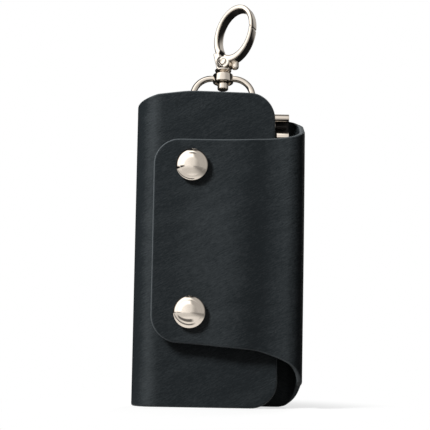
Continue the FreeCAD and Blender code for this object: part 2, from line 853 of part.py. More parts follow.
def swivel_loop():
    """A wire bent into a round-shouldered frame, with a bored boss in its upper bar."""
    body = new_body("swivel_loop")
    path = new_sketch(body, "path", "XZ_Plane")
    low, top = "loop_bottom_radius", "loop_top_radius"
    outline(
        path,
        [
            ("loop_half - " + low, "0", low, -1),
            ("loop_half", low),
            ("loop_half", "loop_rise - " + top, top, -1),
            ("loop_half - " + top, "loop_rise"),
            (top + " - loop_half", "loop_rise", top, -1),
            ("-loop_half", "loop_rise - " + top),
            ("-loop_half", low, low, -1),
            (low + " - loop_half", "0"),
        ],
    )
    wire = new_sketch(body, "wire", "YZ_Plane")
    circle(wire, "0", "0", "loop_wire / 2")
    sweep = body.newObject("PartDesign::AdditivePipe", "swivel_loop_sweep")
    sweep.Profile = wire
    sweep.Spine = path
    doc.recompute()
    boss = new_sketch(body, "boss", "XZ_Plane")
    edge = "boss_diameter / 2 - boss_edge"
    base = "boss_rise - boss_height"
    outline(
        boss,
        [
            ("0", base),
            (edge, base),
            ("boss_diameter / 2", base + " + boss_edge"),
            ("boss_diameter / 2", "boss_rise - boss_edge"),
            (edge, "boss_rise"),
            ("0", "boss_rise"),
        ],
    )
    revolve(boss)
    bore = new_sketch(body, "bore", "XZ_Plane")
    bored = "stem_radius + stem_clearance"
    outline(
        bore,
        [
            ("0", base + " - boss_edge"),
            ("boss_recess_diameter / 2", base + " - boss_edge"),
            ("boss_recess_diameter / 2", base + " + boss_recess"),
            (bored, base + " + boss_recess"),
            (bored, "boss_rise + boss_edge"),
            ("0", "boss_rise + boss_edge"),
        ],
    )
    before = volume_of(body)
    groove = body.newObject("PartDesign::Groove", "swivel_loop_bore_cut")
    groove.Profile = bore
    groove.ReferenceAxis = (bore, ["V_Axis"])
    if not volume_of(body) < before:
        raise RuntimeError("the bore of the boss cuts nothing")
    lean_back(body, "0", "0")


swivel_loop()

# Snap hook: drawn in its own plane from the top of the boss, then turned about its stem


def turn_about_stem(body):
    lean_back(body, "(boss_rise + stem_clearance)", "snap_turn_angle")


def ring(body):
    """The flat oval that the hook and its gate are both cut from."""
    outside = new_sketch(body, "outside", "XZ_Plane")
    ellipse(outside, "ring_x", "ring_z", "ring_long", "ring_short", "ring_lean_angle")
    pad(outside, "ring_depth", both_sides=True)
    inside = new_sketch(body, "inside", "XZ_Plane")
    ellipse(inside, "eye_x", "eye_z", "eye_long", "eye_short", "eye_lean_angle")
    pocket(inside, "2 * ring_depth", both_sides=True)


def oval_edge(edge):
    return edge.Curve.TypeId == "Part::GeomEllipse"


def nose_line(shift):
    """The stepped joint between nose and gate, from the eye outwards."""
    return [
        ("nose_inner_x", "nose_inner_z" + shift),
        ("nose_step_x", "nose_step_z" + shift),
        ("nose_outer_x", "nose_outer_z" + shift),
    ]


def hook_body():
    body = new_body("hook_body")
    ring(body)
    zone = new_sketch(body, "gate_zone", "XZ_Plane")
    swing = "(eye_z - eye_short - pin_z) * tan(gate_travel_angle + gate_spare_angle)"
    corners = [("eye_x", "eye_z"), ("pin_x - " + swing, "eye_z - eye_short"), ("pin_x", "pin_z")]
    corners += [("pin_x", "-frame_reach"), ("frame_reach", "-frame_reach"), ("frame_reach", "nose_outer_z")]
    outline(zone, corners + nose_line("")[::-1])
    pocket(zone, "2 * ring_depth", both_sides=True)
    fillet(body, "edges", oval_edge, "ring_edge")
    base = new_sketch(body, "base", "XZ_Plane")
    outline(
        base,
        [
            ("-base_left", "collar_height"),
            ("base_right", "collar_height"),
            ("pin_x", "pin_z"),
            ("pin_x - ear_radius", "base_shoulder_z"),
            ("-base_shoulder_x", "base_shoulder_z"),
        ],
    )
    pad(base, "ring_depth", both_sides=True)
    ears = new_sketch(body, "ear_room", "XZ_Plane")
    circle(ears, "pin_x", "pin_z", "ear_pocket")
    pocket(ears, "2 * ring_depth", both_sides=True)
    tongue = new_sketch(body, "tongue", "XZ_Plane")
    circle(tongue, "pin_x", "pin_z", "ear_pocket")
    pad(tongue, "tongue_width", both_sides=True)
    hole = new_sketch(body, "pin_hole", "XZ_Plane")
    circle(hole, "pin_x", "pin_z", "pin_radius")
    pocket(hole, "2 * ring_depth", both_sides=True)
    stem = new_sketch(body, "stem", "XZ_Plane")
    peened = "-stem_length - stem_end_height"
    outline(
        stem,
        [
            ("0", peened),
            ("stem_end_diameter / 2", peened),
            ("stem_end_diameter / 2", "-stem_length - stem_clearance"),
            ("stem_radius", "-stem_length - stem_clearance"),
            ("stem_radius", "0"),
            ("collar_diameter / 2", "0"),
            ("collar_diameter / 2", "collar_height"),
            ("0", "collar_height"),
        ],
    )
    revolve(stem)
    turn_about_stem(body)


def snap_gate():
    """The sprung limb: a fork astride the tongue, a thumb heel, a curved arm and a stepped end."""
    body = new_body("snap_gate")
    ring(body)
    zone = new_sketch(body, "hook_zone", "XZ_Plane")
    corners = [("eye_x", "eye_z"), ("pin_x", "eye_z - eye_short"), ("pin_x", "-frame_reach")]
    corners += [("-frame_reach", "-frame_reach"), ("-frame_reach", "2 * frame_reach")]
    corners += [("frame_reach", "2 * frame_reach"), ("frame_reach", "nose_outer_z - nose_gap")]
    outline(zone, corners + nose_line(" - nose_gap")[::-1])
    pocket(zone, "2 * ring_depth", both_sides=True)
    fillet(body, "edges", oval_edge, "ring_edge")
    ears = new_sketch(body, "ears", "XZ_Plane")
    circle(ears, "pin_x", "pin_z", "ear_radius")
    pad(ears, "ring_depth", both_sides=True)
    heel = new_sketch(body, "heel", "XZ_Plane")
    circle(heel, "heel_x", "heel_z", "heel_radius")
    pad(heel, "ring_depth / 2", backwards=True)
    slot = new_sketch(body, "fork_slot", "XZ_Plane")
    circle(slot, "pin_x", "pin_z", "ear_pocket + ear_clearance")
    pocket(slot, "slot_width", both_sides=True)
    hole = new_sketch(body, "pin_hole", "XZ_Plane")
    circle(hole, "pin_x", "pin_z", "pin_radius + pin_clearance")
    pocket(hole, "2 * ring_depth", both_sides=True)
    turn_about_stem(body)


def gate_pin():
    body = new_body("gate_pin")
    heads = new_sketch(body, "heads", "XZ_Plane")
    circle(heads, "pin_x", "pin_z", "pin_head_diameter / 2")
    pad(heads, "pin_grip + 2 * pin_head_height", both_sides=True)
    shank = new_sketch(body, "shank", "XZ_Plane")
    circle(shank, "pin_x", "pin_z", "pin_head_diameter")
    circle(shank, "pin_x", "pin_z", "pin_radius")
    pocket(shank, "pin_grip", both_sides=True)
    turn_about_stem(body)


hook_body()
snap_gate()
gate_pin()

# Check every piece, then write it
doc.recompute()
for item in doc.Objects:
    if "Invalid" in item.State or "Error" in item.State:
        raise RuntimeError("%s is %s" % (item.Label, item.State))
pieces = [item for item in doc.Objects if item.TypeId == "PartDesign::Body"]
os.makedirs("parts", exist_ok=True)
for piece in pieces:
    if piece.Shape.isNull() or not piece.Shape.isValid() or len(piece.Shape.Solids) != 1:
        raise RuntimeError(piece.Label + " is not one valid solid")
for piece in pieces:
    piece.Shape.exportStep("parts/%s.step" % piece.Label)
print("%d pieces written" % len(pieces))
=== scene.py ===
"""Looks of a black leather key case with a snap-fastened flap, a key bar and a swivel snap hook.

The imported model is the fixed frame. Lengths in the settings are metres. The case stands on the
floor at z = 0, its flap faces -Y, and the outer flap folds round at +X.
"""

import functools
import json
import math

import bmesh
import bpy
import numpy as np
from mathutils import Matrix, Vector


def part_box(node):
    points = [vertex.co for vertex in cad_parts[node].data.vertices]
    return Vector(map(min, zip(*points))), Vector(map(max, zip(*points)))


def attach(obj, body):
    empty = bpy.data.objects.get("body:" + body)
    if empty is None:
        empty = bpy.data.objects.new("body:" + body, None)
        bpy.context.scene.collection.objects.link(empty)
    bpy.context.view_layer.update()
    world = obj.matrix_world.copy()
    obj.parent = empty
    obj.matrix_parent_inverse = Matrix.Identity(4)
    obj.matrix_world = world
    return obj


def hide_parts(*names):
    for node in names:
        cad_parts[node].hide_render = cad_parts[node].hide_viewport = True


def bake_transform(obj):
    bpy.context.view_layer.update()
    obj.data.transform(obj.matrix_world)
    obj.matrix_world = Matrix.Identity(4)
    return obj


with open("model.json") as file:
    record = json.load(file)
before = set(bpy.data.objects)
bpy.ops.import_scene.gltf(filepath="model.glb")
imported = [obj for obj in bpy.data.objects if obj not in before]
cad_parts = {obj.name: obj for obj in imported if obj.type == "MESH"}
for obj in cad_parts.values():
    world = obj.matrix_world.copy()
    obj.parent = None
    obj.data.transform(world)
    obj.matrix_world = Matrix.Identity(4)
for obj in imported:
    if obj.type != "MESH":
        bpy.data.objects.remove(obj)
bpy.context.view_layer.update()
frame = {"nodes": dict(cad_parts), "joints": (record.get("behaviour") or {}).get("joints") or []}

bl_info = {
    "name": "Leather key case",
    "version": (1, 0, 0),
    "blender": (4, 5, 0),
    "location": "View3D > Sidebar > Key case",
    "description": "Builds the leather, the plated hardware and the studio of a wrap-round key case",
    "category": "Object",
}

MM = 0.001


def low(node):
    """Lowest corner of a CAD node."""
    return np.array(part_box(node)[0])


def high(node):
    """Highest corner of a CAD node."""
    return np.array(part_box(node)[1])


def joint(name):
    """Place and axis of one of the frame's joints."""
    found = next(item for item in frame["joints"] if item["name"] == name)
    return np.array(found["pos_m"]), np.array(found["axis"])


# Settings that a user would change


def length(name, about, value):
    """A length in metres."""
    return bpy.props.FloatProperty(name=name, description=about, default=value, unit="LENGTH", precision=5)


def share(name, about, value):
    """A number from 0 to 1."""
    return bpy.props.FloatProperty(name=name, description=about, default=value, min=0.0, max=1.0)


def colour(name, about, value):
    """A plain colour."""
    return bpy.props.FloatVectorProperty(name=name, description=about, default=value, subtype="COLOR",
                                         min=0.0, max=1.0)


class LeatherSettings(bpy.types.PropertyGroup):
    """The sheet of leather: thickness, cut and finish."""

    thickness: length("Thickness", "Thickness of the sheet", 2.0 * MM)
    edge_round: length("Edge rounding", "Radius to which the cut edges are burnished", 0.7 * MM)
    left_back_bend: length("Left back bend", "Middle radius of the left fold at the back", 5.0 * MM)
    left_front_bend: length("Left front bend", "Middle radius of the left fold at the front", 7.0 * MM)
    right_back_bend: length("Right back bend", "Middle radius of the right fold at the back", 5.0 * MM)
    right_front_bend: length("Right front bend", "Middle radius of the right fold at the front", 5.5 * MM)
    inner_corner_top: length("Inner top corner", "Corner radius at the top of the inner flap", 9.5 * MM)
    inner_corner_bottom: length("Inner bottom corner", "Corner radius at the inner flap's foot", 10.0 * MM)
    outer_corner: length("Outer corners", "Corner radius of the outer flap", 9.5 * MM)
    dye: colour("Dye", "Colour of the dyed grain side", (0.0132, 0.0163, 0.0183))
    # The worn dye is also the colour of the painted highlights on the folds and flaps.
    dye_worn_and_highlight: colour("Worn dye", "Colour where the dye is thinner", (0.0420, 0.0480, 0.0515))
    # The edge tint is partly the cut edge's own colour and partly a painted highlight where the rounded edge
    # catches light.
    edge_tint_and_highlight: colour("Edge tint", "Colour of the burnished cut edges", (0.095, 0.106, 0.112))
    grain: length("Grain", "Width of one pebble of the grain", 0.85 * MM)
    roughness: share("Roughness", "Roughness of the grain side", 0.43)


class HardwareSettings(bpy.types.PropertyGroup):
    """Plated fittings."""

    nickel: colour("Nickel", "Colour of the polished warm nickel", (0.800, 0.745, 0.680))
    steel: colour("Steel", "Colour of the plain inner fittings", (0.420, 0.400, 0.375))
    polish: share("Polish", "Roughness of the polished fittings", 0.09)
    satin: share("Satin", "Roughness of the inner fittings", 0.32)
    cap_radius: length("Cap radius", "Radius of a snap cap", 5.9 * MM)
    cap_height: length("Cap height", "Height of a snap cap's dome over the leather", 4.5 * MM)
    cap_dome: share("Cap dome", "Share of a cap's radius that its dome takes", 0.74)
    cap_brim: length("Brim height", "Height of the brim where it meets the dome", 3.0 * MM)
    cap_rim: length("Rim height", "Height of the brim at its outer edge", 1.9 * MM)
    bar_sheet: length("Bar sheet", "Thickness of the key bar's sheet", 0.9 * MM)
    # Painted shade: the black of the plate laid in the key bar's channel and of its rod, standing for the
    # shade there.
    painted_shade: colour("Lacquer", "Colour of the dark bed of the key bar", (0.014, 0.012, 0.011))
    loop_wire: length("Loop wire", "Thickness of the swivel loop's wire", 2.4 * MM)
    loop_half: length("Loop half width", "From the middle of the loop to the middle of its wire", 11.4 * MM)
    loop_rise: length("Loop height", "From the lower bar's middle to the upper bar's", 12.5 * MM)
    boss_radius: length("Boss radius", "Radius of the swivel boss", 3.95 * MM)
    ring_depth: length("Hook depth", "Depth of the snap hook from front to back", 5.0 * MM)
    edge_softness: share("Hook roundness", "Power of the limb's section: 1 is an oval, 0 is square", 0.50)
    splay: share("Hook splay", "How far the eye's wall opens towards the front", 0.28)


class StageSettings(bpy.types.PropertyGroup):
    """Camera, floor and light."""

    distance: length("Camera distance", "From the camera to the front of the case", 450.0 * MM)
    eye_height: length("Eye height", "Height of the camera over the floor", 27.0 * MM)
    aim_x: length("Aim across", "Place across the case at the middle of the frame", -0.8 * MM)
    aim_z: length("Aim height", "Height at the middle of the frame", 70.8 * MM)
    field: length("Field", "Width of the frame at the case", 158.7 * MM)
    roll: bpy.props.FloatProperty(name="Roll", description="Lean of the camera", default=math.radians(-1.0),
                                  subtype="ANGLE")
    floor: colour("Floor", "Colour of the floor", (0.90, 0.90, 0.90))


# Meshes

SHARP_EDGE = math.radians(50.0)


def smooth_step(start, end, x):
    """0 before start, 1 after end, with an easy S between."""
    t = np.clip((x - start) / (end - start), 0.0, 1.0)
    return t * t * (3.0 - 2.0 * t)


def eased(places, levels, x):
    """A smooth line through points that never overshoots them.

    Between two points it is the cubic with the slopes of both; a point's slope is the harmonic mean of its
    two chords, and zero where they turn round.
    """
    gaps, rises = np.diff(places), np.diff(levels)
    chord = rises / gaps
    same = chord[:-1] * chord[1:] > 0.0
    total = np.where(same, chord[:-1] + chord[1:], 1.0)
    slope = np.concatenate([chord[:1], np.where(same, 2.0 * chord[:-1] * chord[1:] / total, 0.0), chord[-1:]])
    k = np.clip(np.searchsorted(places, x) - 1, 0, len(gaps) - 1)
    t = np.clip((x - places[k]) / gaps[k], 0.0, 1.0)
    start = (1.0 + 2.0 * t) * (1.0 - t) ** 2 * levels[k] + t * (1.0 - t) ** 2 * gaps[k] * slope[k]
    return start + t * t * (3.0 - 2.0 * t) * levels[k + 1] + t * t * (t - 1.0) * gaps[k] * slope[k + 1]


def soft_lower(a, b, room):
    """The lower of two lines with their corner rounded off over about that room."""
    return 0.5 * (a + b - np.sqrt((a - b) ** 2 + room ** 2))


def grid_faces(rows, columns, first=0, closed_columns=False, flip=False):
    """Quads of a rows by columns grid of points that are numbered row by row from first."""
    i = np.arange(rows - 1)
    j = np.arange(columns if closed_columns else columns - 1)
    i, j = [a.ravel() for a in np.meshgrid(i, j, indexing="ij")]
    k, m = i + 1, (j + 1) % columns
    quads = np.stack([i * columns + j, i * columns + m, k * columns + m, k * columns + j], axis=1) + first
    return quads[:, ::-1] if flip else quads


def new_piece(name, points, faces):
    """A mesh object at the origin from an array of points and lists of faces."""
    mesh = bpy.data.meshes.new(name)
    mesh.from_pydata(points.tolist(), [], [face for group in faces for face in np.asarray(group).tolist()])
    mesh.validate()
    mesh.polygons.foreach_set("use_smooth", np.ones(len(mesh.polygons), bool))
    mesh.set_sharp_from_angle(angle=SHARP_EDGE)
    mesh.update()
    piece = bpy.data.objects.new(name, mesh)
    bpy.context.scene.collection.objects.link(piece)
    return piece


def spun(profile, steps=96):
    """A solid turned about the third axis: (radius, height) from pole to pole, as (r cos a, r sin a, h)."""
    turn = np.linspace(0.0, 2.0 * np.pi, steps, endpoint=False)
    radius, rise = profile[1:-1, 0][:, None], profile[1:-1, 1][:, None]
    rings = np.stack([radius * np.cos(turn), radius * np.sin(turn), rise + 0.0 * turn], axis=-1)
    count = rings.shape[0]
    poles = [[0.0, 0.0, profile[0, 1]], [0.0, 0.0, profile[-1, 1]]]
    points = np.concatenate([rings.reshape(-1, 3), poles])
    ring = np.arange(steps)
    after = (ring + 1) % steps
    base = (count - 1) * steps
    start = np.stack([np.full(steps, count * steps), after, ring], axis=1)
    end = np.stack([np.full(steps, count * steps + 1), base + ring, base + after], axis=1)
    return points, [grid_faces(count, steps, closed_columns=True), start, end]


def press(wave, power):
    """A wave flattened towards a square one."""
    return np.sign(wave) * np.abs(wave) ** power


def tube(middle, half, front, power, splay=0.0, steps=48):
    """A limb along a plane line: at angle a its section is middle + half s(cos a) + front s(sin a).

    half is the vector from the middle to the outer side, front the reach to the third axis, and s presses
    the circle towards an oblong by the given power. The inner side is splayed: it is set back by that share
    of the half width at the front, and by none at the back.
    """
    turn = np.linspace(0.0, 2.0 * np.pi, steps, endpoint=False)
    across, ahead = press(np.cos(turn), power), press(np.sin(turn), power)
    across = across + splay * 0.25 * (1.0 - across) * (1.0 + ahead)
    flat = middle[:, None, :] + half[:, None, :] * across[None, :, None]
    deep = front[:, None] * ahead[None, :]
    points = np.concatenate([flat, deep[..., None]], axis=-1).reshape(-1, 3)
    count = len(middle)
    last = (count - 1) * steps
    ring = np.arange(steps)
    return points, [grid_faces(count, steps, closed_columns=True), ring[None], last + ring[None]]


def right_of(along):
    """Unit vectors to the right of directions (u, v) in a plane: (v, -u) over their length."""
    along = along / np.linalg.norm(along, axis=1, keepdims=True)
    return np.stack([along[:, 1], -along[:, 0]], axis=1)


def slab(outline, back, front, round_off):
    """A plate along the third axis: its outline is set in by r (1 - sin a) where its rims are rounded."""
    out = right_of(np.roll(outline, -1, axis=0) - np.roll(outline, 1, axis=0))
    turn = np.linspace(0.0, 0.5 * np.pi, 6)
    inset = np.concatenate([round_off * (1.0 - np.sin(turn)), round_off * (1.0 - np.cos(turn))])
    deep = np.concatenate([back + round_off * (1.0 - np.cos(turn)), front - round_off * (1.0 - np.sin(turn))])
    flat = outline[None] - out[None] * inset[:, None, None]
    points = np.concatenate([flat, deep[:, None, None] + 0.0 * flat[..., :1]], axis=-1).reshape(-1, 3)
    count = len(outline)
    ring = np.arange(count)
    return points, [grid_faces(len(deep), count, closed_columns=True), ring[None],
                    (len(deep) - 1) * count + ring[None]]


def gather(*solids):
    """Join solids, each one (points, faces), into one set of points and faces."""
    points, faces, first = [], [], 0
    for spots, groups in solids:
        points.append(spots)
        faces += [np.asarray(group) + first for group in groups]
        first += len(spots)
    return np.concatenate(points), faces


def capsule(start, end, radius):
    """Two half circles about start and end, joined by straight sides."""
    lean = math.atan2(end[1] - start[1], end[0] - start[0])
    turn = lean + np.linspace(-0.5 * np.pi, 0.5 * np.pi, 24)
    cap = radius * np.stack([np.cos(turn), np.sin(turn)], axis=1)
    return np.concatenate([np.array(end) + cap, np.array(start) - cap])


def disc(x, y, radius):
    """A circle about (x, y)."""
    turn = np.linspace(0.0, 2.0 * np.pi, 64, endpoint=False)
    return np.stack([x + radius * np.cos(turn), y + radius * np.sin(turn)], axis=1)


def outwards(piece):
    """Turn the faces of closed solids so that they look outwards."""
    shell = bmesh.new()
    shell.from_mesh(piece.data)
    bmesh.ops.recalc_face_normals(shell, faces=shell.faces)
    shell.to_mesh(piece.data)
    shell.free()
    return piece


def rounded(corners, radii, steps=8):
    """A line through corners, each one rounded with an arc that touches both of its sides."""
    out = [np.array(corners[0])[None]]
    for before, corner, after, radius in zip(corners, corners[1:], corners[2:], radii):
        a, b, c = np.array(before), np.array(corner), np.array(after)
        u, v = (a - b) / np.linalg.norm(a - b), (c - b) / np.linalg.norm(c - b)
        half = 0.5 * np.arccos(np.clip(u @ v, -1.0, 1.0))
        middle = b + (u + v) / np.linalg.norm(u + v) * radius / np.sin(half)
        start = b + u * radius / np.tan(half) - middle
        end = b + v * radius / np.tan(half) - middle
        sweep = np.arctan2(start[0] * end[1] - start[1] * end[0], start @ end)
        t = np.linspace(0.0, sweep, steps)[:, None]
        across = np.array([-start[1], start[0]])
        out.append(middle + np.cos(t) * start + np.sin(t) * across)
    out.append(np.array(corners[-1])[None])
    return np.concatenate(out)


# Shader maths


class Value:
    """A socket that takes part in sums: each operator adds one Math node to the material."""

    def __init__(self, maker, socket):
        self.maker = maker
        self.socket = socket

    def math(self, operation, *others):
        """A Math node with this value as its first."""
        values = dict(enumerate((self, *others)))
        return self.maker.node("ShaderNodeMath", {"operation": operation}, values)

    def __add__(self, other):
        return self.math("ADD", other)

    def __sub__(self, other):
        return self.math("SUBTRACT", other)

    def __rsub__(self, other):
        return self.maker.node("ShaderNodeMath", {"operation": "SUBTRACT"}, {0: other, 1: self})

    def __mul__(self, other):
        return self.math("MULTIPLY", other)

    __radd__ = __add__
    __rmul__ = __mul__

    def between(self, start, end):
        """0 below start, 1 above end, eased between."""
        values = {"Value": self, "From Min": start, "From Max": end}
        return self.maker.node("ShaderNodeMapRange", {"interpolation_type": "SMOOTHSTEP"}, values, "Result")

    def within(self, start, rise, fall, end):
        """1 from rise to fall, eased down to 0 at start and end."""
        return self.between(start, rise) * (1.0 - self.between(fall, end))


class Nodes:
    """A node tree, made node by node."""

    def __init__(self, tree):
        self.tree = tree

    def node(self, kind, settings, values, output=0):
        """Add a node: its settings first, then the values or links of its sockets."""
        node = self.tree.nodes.new(kind)
        for key, value in settings.items():
            setattr(node, key, value)
        for key, value in values.items():
            self.feed(node.inputs[key], value)
        return None if output is None else Value(self, node.outputs[output])

    def feed(self, socket, value):
        """Link a value to a socket, or set a plain number or colour on the socket itself."""
        if isinstance(value, Value):
            self.tree.links.new(value.socket, socket)
        else:
            socket.default_value = value

    def part(self, vector, axis):
        """One coordinate of a vector."""
        return self.node("ShaderNodeSeparateXYZ", {}, {0: vector}, axis)

    def ray(self, kind):
        """1 for rays of that kind."""
        return self.node("ShaderNodeLightPath", {}, {}, "Is %s Ray" % kind)

    def mix(self, factor, first, second):
        """Mix two shaders."""
        return self.node("ShaderNodeMixShader", {}, {0: factor, 1: first, 2: second})


class Finish(Nodes):
    """One material."""

    def __init__(self, name):
        self.material = bpy.data.materials.new(name)
        self.material.use_nodes = True
        super().__init__(self.material.node_tree)
        self.shader = self.tree.nodes["Principled BSDF"]

    def blend(self, factor, first, second):
        """Mix two colours."""
        values = {0: factor, 6: first, 7: second}
        return self.node("ShaderNodeMix", {"data_type": "RGBA"}, values, 2)

    def clouded(self, mask, tint, share):
        """A colour that goes to that share of itself where the mask is 1."""
        return self.blend(mask, opaque(tint), opaque([share * part for part in tint]))

    def noise(self, place, scale, detail, roughness):
        values = {"Vector": place, "Scale": scale, "Detail": detail, "Roughness": roughness}
        return self.node("ShaderNodeTexNoise", {}, values)

    def pebbles(self, place, scale, feature="F1"):
        return self.node("ShaderNodeTexVoronoi", {"feature": feature}, {"Vector": place, "Scale": scale})

    def stretched(self, place, size, turn=0.0):
        """Coordinates that count in steps of that size, along axes turned about the third one."""
        values = {"Vector": place, "Scale": size, "Rotation": (0.0, 0.0, turn)}
        return self.node("ShaderNodeMapping", {"vector_type": "TEXTURE"}, values)

    def bump(self, height, strength, distance):
        values = {"Height": height, "Strength": strength, "Distance": distance}
        return self.node("ShaderNodeBump", {}, values)

    def set(self, **inputs):
        """Feed the shader's sockets, named with _ for a space."""
        for key, value in inputs.items():
            self.feed(self.shader.inputs[key.replace("_", " ")], value)


def opaque(tint):
    """A colour with its alpha."""
    return (tint[0], tint[1], tint[2], 1.0)


# Patterns of the finishes: slants, sizes of drawn-out marks, cells to a metre and depths of relief
STREAK_SLANT, HAIR_SLANT = math.radians(-27.0), 0.7
BAND_SIZE, STREAK_SIZE = (16.0 * MM, 5.0 * MM, 1.0), (2.1 * MM, 0.42 * MM, 1.0)
HAIR_SIZE, DRAWN_SIZE = (0.24 * MM, 5.5 * MM, 1.1 * MM), (3.3 * MM, 0.19 * MM, 0.19 * MM)
FLECKS, HAZE, CLOUDS, PEEL, DUST = 1700.0, 260.0, 320.0, 1400.0, 420.0
GRAIN_DEPTH, SCRATCH_DEPTH, PEEL_DEPTH = 0.14 * MM, 0.01 * MM, 0.02 * MM
WORN_ALL_OVER = 0.26
PAINTED_SHADE_ROUGHNESS = 0.42


def leather_finish(settings):
    """Dyed smooth leather: fine pebbles, short slanting streaks, cloudy bands of dye, paler edges that are
    partly a painted highlight, and highlights and shade painted into the dye on the folds and flaps.
    """
    made = Finish("black_leather")
    flat = made.node("ShaderNodeUVMap", {"uv_map": "pattern"}, {})
    edge = made.node("ShaderNodeAttribute", {"attribute_name": "edge"}, {}, "Fac")
    rub = made.node("ShaderNodeAttribute", {"attribute_name": "rub"}, {}, "Fac")
    per_pebble = 1.0 / settings.grain
    band = made.noise(made.stretched(flat, BAND_SIZE, STREAK_SLANT), 1.0, detail=3.0, roughness=0.6)
    streak = made.noise(made.stretched(flat, STREAK_SIZE, STREAK_SLANT), 1.0, detail=2.0, roughness=0.6)
    fleck = made.noise(flat, FLECKS, detail=2.0, roughness=0.6)
    pebble = made.pebbles(flat, per_pebble)
    crease = made.pebbles(flat, 0.5 * per_pebble, "DISTANCE_TO_EDGE")
    # The second attribute carries painted highlights, which lighten the dye, and painted shade, which darkens
    # it; bands, streaks and flecks are the dye's own wear.
    wear_and_painted_light = (band - 0.5) * 0.7 + (streak - 0.5) * 1.3 + (fleck - 0.5) * 0.6 + rub + WORN_ALL_OVER
    grain_tint_with_painted_light = made.blend(wear_and_painted_light.math("MAXIMUM", 0.0), opaque(settings.dye), opaque(settings.dye_worn_and_highlight))
    # Paler cut edges: partly their own colour, partly a painted highlight.
    tint = made.blend(edge.between(0.15, 0.9) * 0.85, grain_tint_with_painted_light, opaque(settings.edge_tint_and_highlight))
    shine = settings.roughness - (band - 0.5) * 0.25 - (streak - 0.5) * 0.2
    relief = crease.between(0.0, 0.14) * 0.25 + (1.0 - pebble) * 0.35 + streak * 1.1 + fleck * 0.5
    normal = made.bump(relief, strength=0.8, distance=GRAIN_DEPTH)
    made.set(Base_Color=tint, Roughness=shine, Normal=normal, IOR=1.5, Specular_IOR_Level=0.05)
    return made.material


def nickel_finish(settings):
    """Polished warm nickel: faint handling haze and hairline scratches over a mirror."""
    made = Finish("polished_warm_nickel")
    place = made.node("ShaderNodeTexCoord", {}, {}, "Object")
    haze = made.noise(place, HAZE, detail=4.0, roughness=0.6)
    hair = made.noise(made.stretched(place, HAIR_SIZE, HAIR_SLANT), 1.0, detail=2.0, roughness=0.5)
    tone = made.clouded(haze.between(0.3, 0.75), settings.nickel, share=0.94)
    shine = settings.polish + (haze - 0.5) * 0.07 + hair.between(0.6, 0.8) * 0.04
    normal = made.bump(hair, strength=0.05, distance=SCRATCH_DEPTH)
    made.set(Base_Color=tone, Roughness=shine, Normal=normal, Metallic=1.0)
    return made.material


def steel_finish(settings):
    """Satin plated steel: fine drawn lines along the piece and a cloudy plating."""
    made = Finish("satin_plated_steel")
    place = made.node("ShaderNodeTexCoord", {}, {}, "Object")
    drawn = made.noise(made.stretched(place, DRAWN_SIZE), 1.0, detail=3.0, roughness=0.6)
    cloud = made.noise(place, CLOUDS, detail=3.0, roughness=0.55)
    tone = made.clouded(cloud.between(0.3, 0.8), settings.steel, share=0.86)
    shine = settings.satin + (drawn - 0.5) * 0.18
    normal = made.bump(drawn, strength=0.08, distance=SCRATCH_DEPTH)
    made.set(Base_Color=tone, Roughness=shine, Normal=normal, Metallic=1.0)
    return made.material


def painted_shade_finish(settings):
    """Black lacquer as painted shade, on the plate in the bar's channel and on the rod: a little orange peel
    and dust.
    """
    made = Finish("black_lacquer")
    place = made.node("ShaderNodeTexCoord", {}, {}, "Object")
    peel = made.noise(place, PEEL, detail=2.0, roughness=0.5)
    dust = made.noise(place, DUST, detail=3.0, roughness=0.6)
    tone = made.clouded(dust.between(0.45, 0.8), settings.painted_shade, share=1.8)
    shine = PAINTED_SHADE_ROUGHNESS + (dust - 0.5) * 0.2
    normal = made.bump(peel, strength=0.1, distance=PEEL_DEPTH)
    made.set(Base_Color=tone, Roughness=shine, Normal=normal, Specular_IOR_Level=0.2)
    return made.material


FINISHES = {
    "leather": (leather_finish, "case_leather"),
    "nickel": (nickel_finish, "case_hardware"),
    "steel": (steel_finish, "case_hardware"),
    "painted_shade": (painted_shade_finish, "case_hardware"),
}


@functools.cache
def material(key):
    """One of the case's materials, made when it is first asked for."""
    finish, group = FINISHES[key]
    return finish(getattr(bpy.context.scene, group))


def dress(piece, key):
    """Give a piece one material and no other."""
    piece.data.materials.clear()
    piece.data.materials.append(material(key))


def finish_nodes(names, key):
    """Give CAD nodes that stay their material."""
    for name in names:
        dress(frame["nodes"][name], key)


# Leather

BACK_MID = 0.5 * (low("back_panel")[1] + high("back_panel")[1])
INNER_MID = 0.5 * (low("inner_flap")[1] + high("inner_flap")[1])
OUTER_MID = 0.5 * (low("outer_flap")[1] + high("outer_flap")[1])
BACK_TOP = high("back_panel")[2]
SIDE_OUT = high("right_fold")[0]
FLAP_TOP = high("inner_flap")[2]


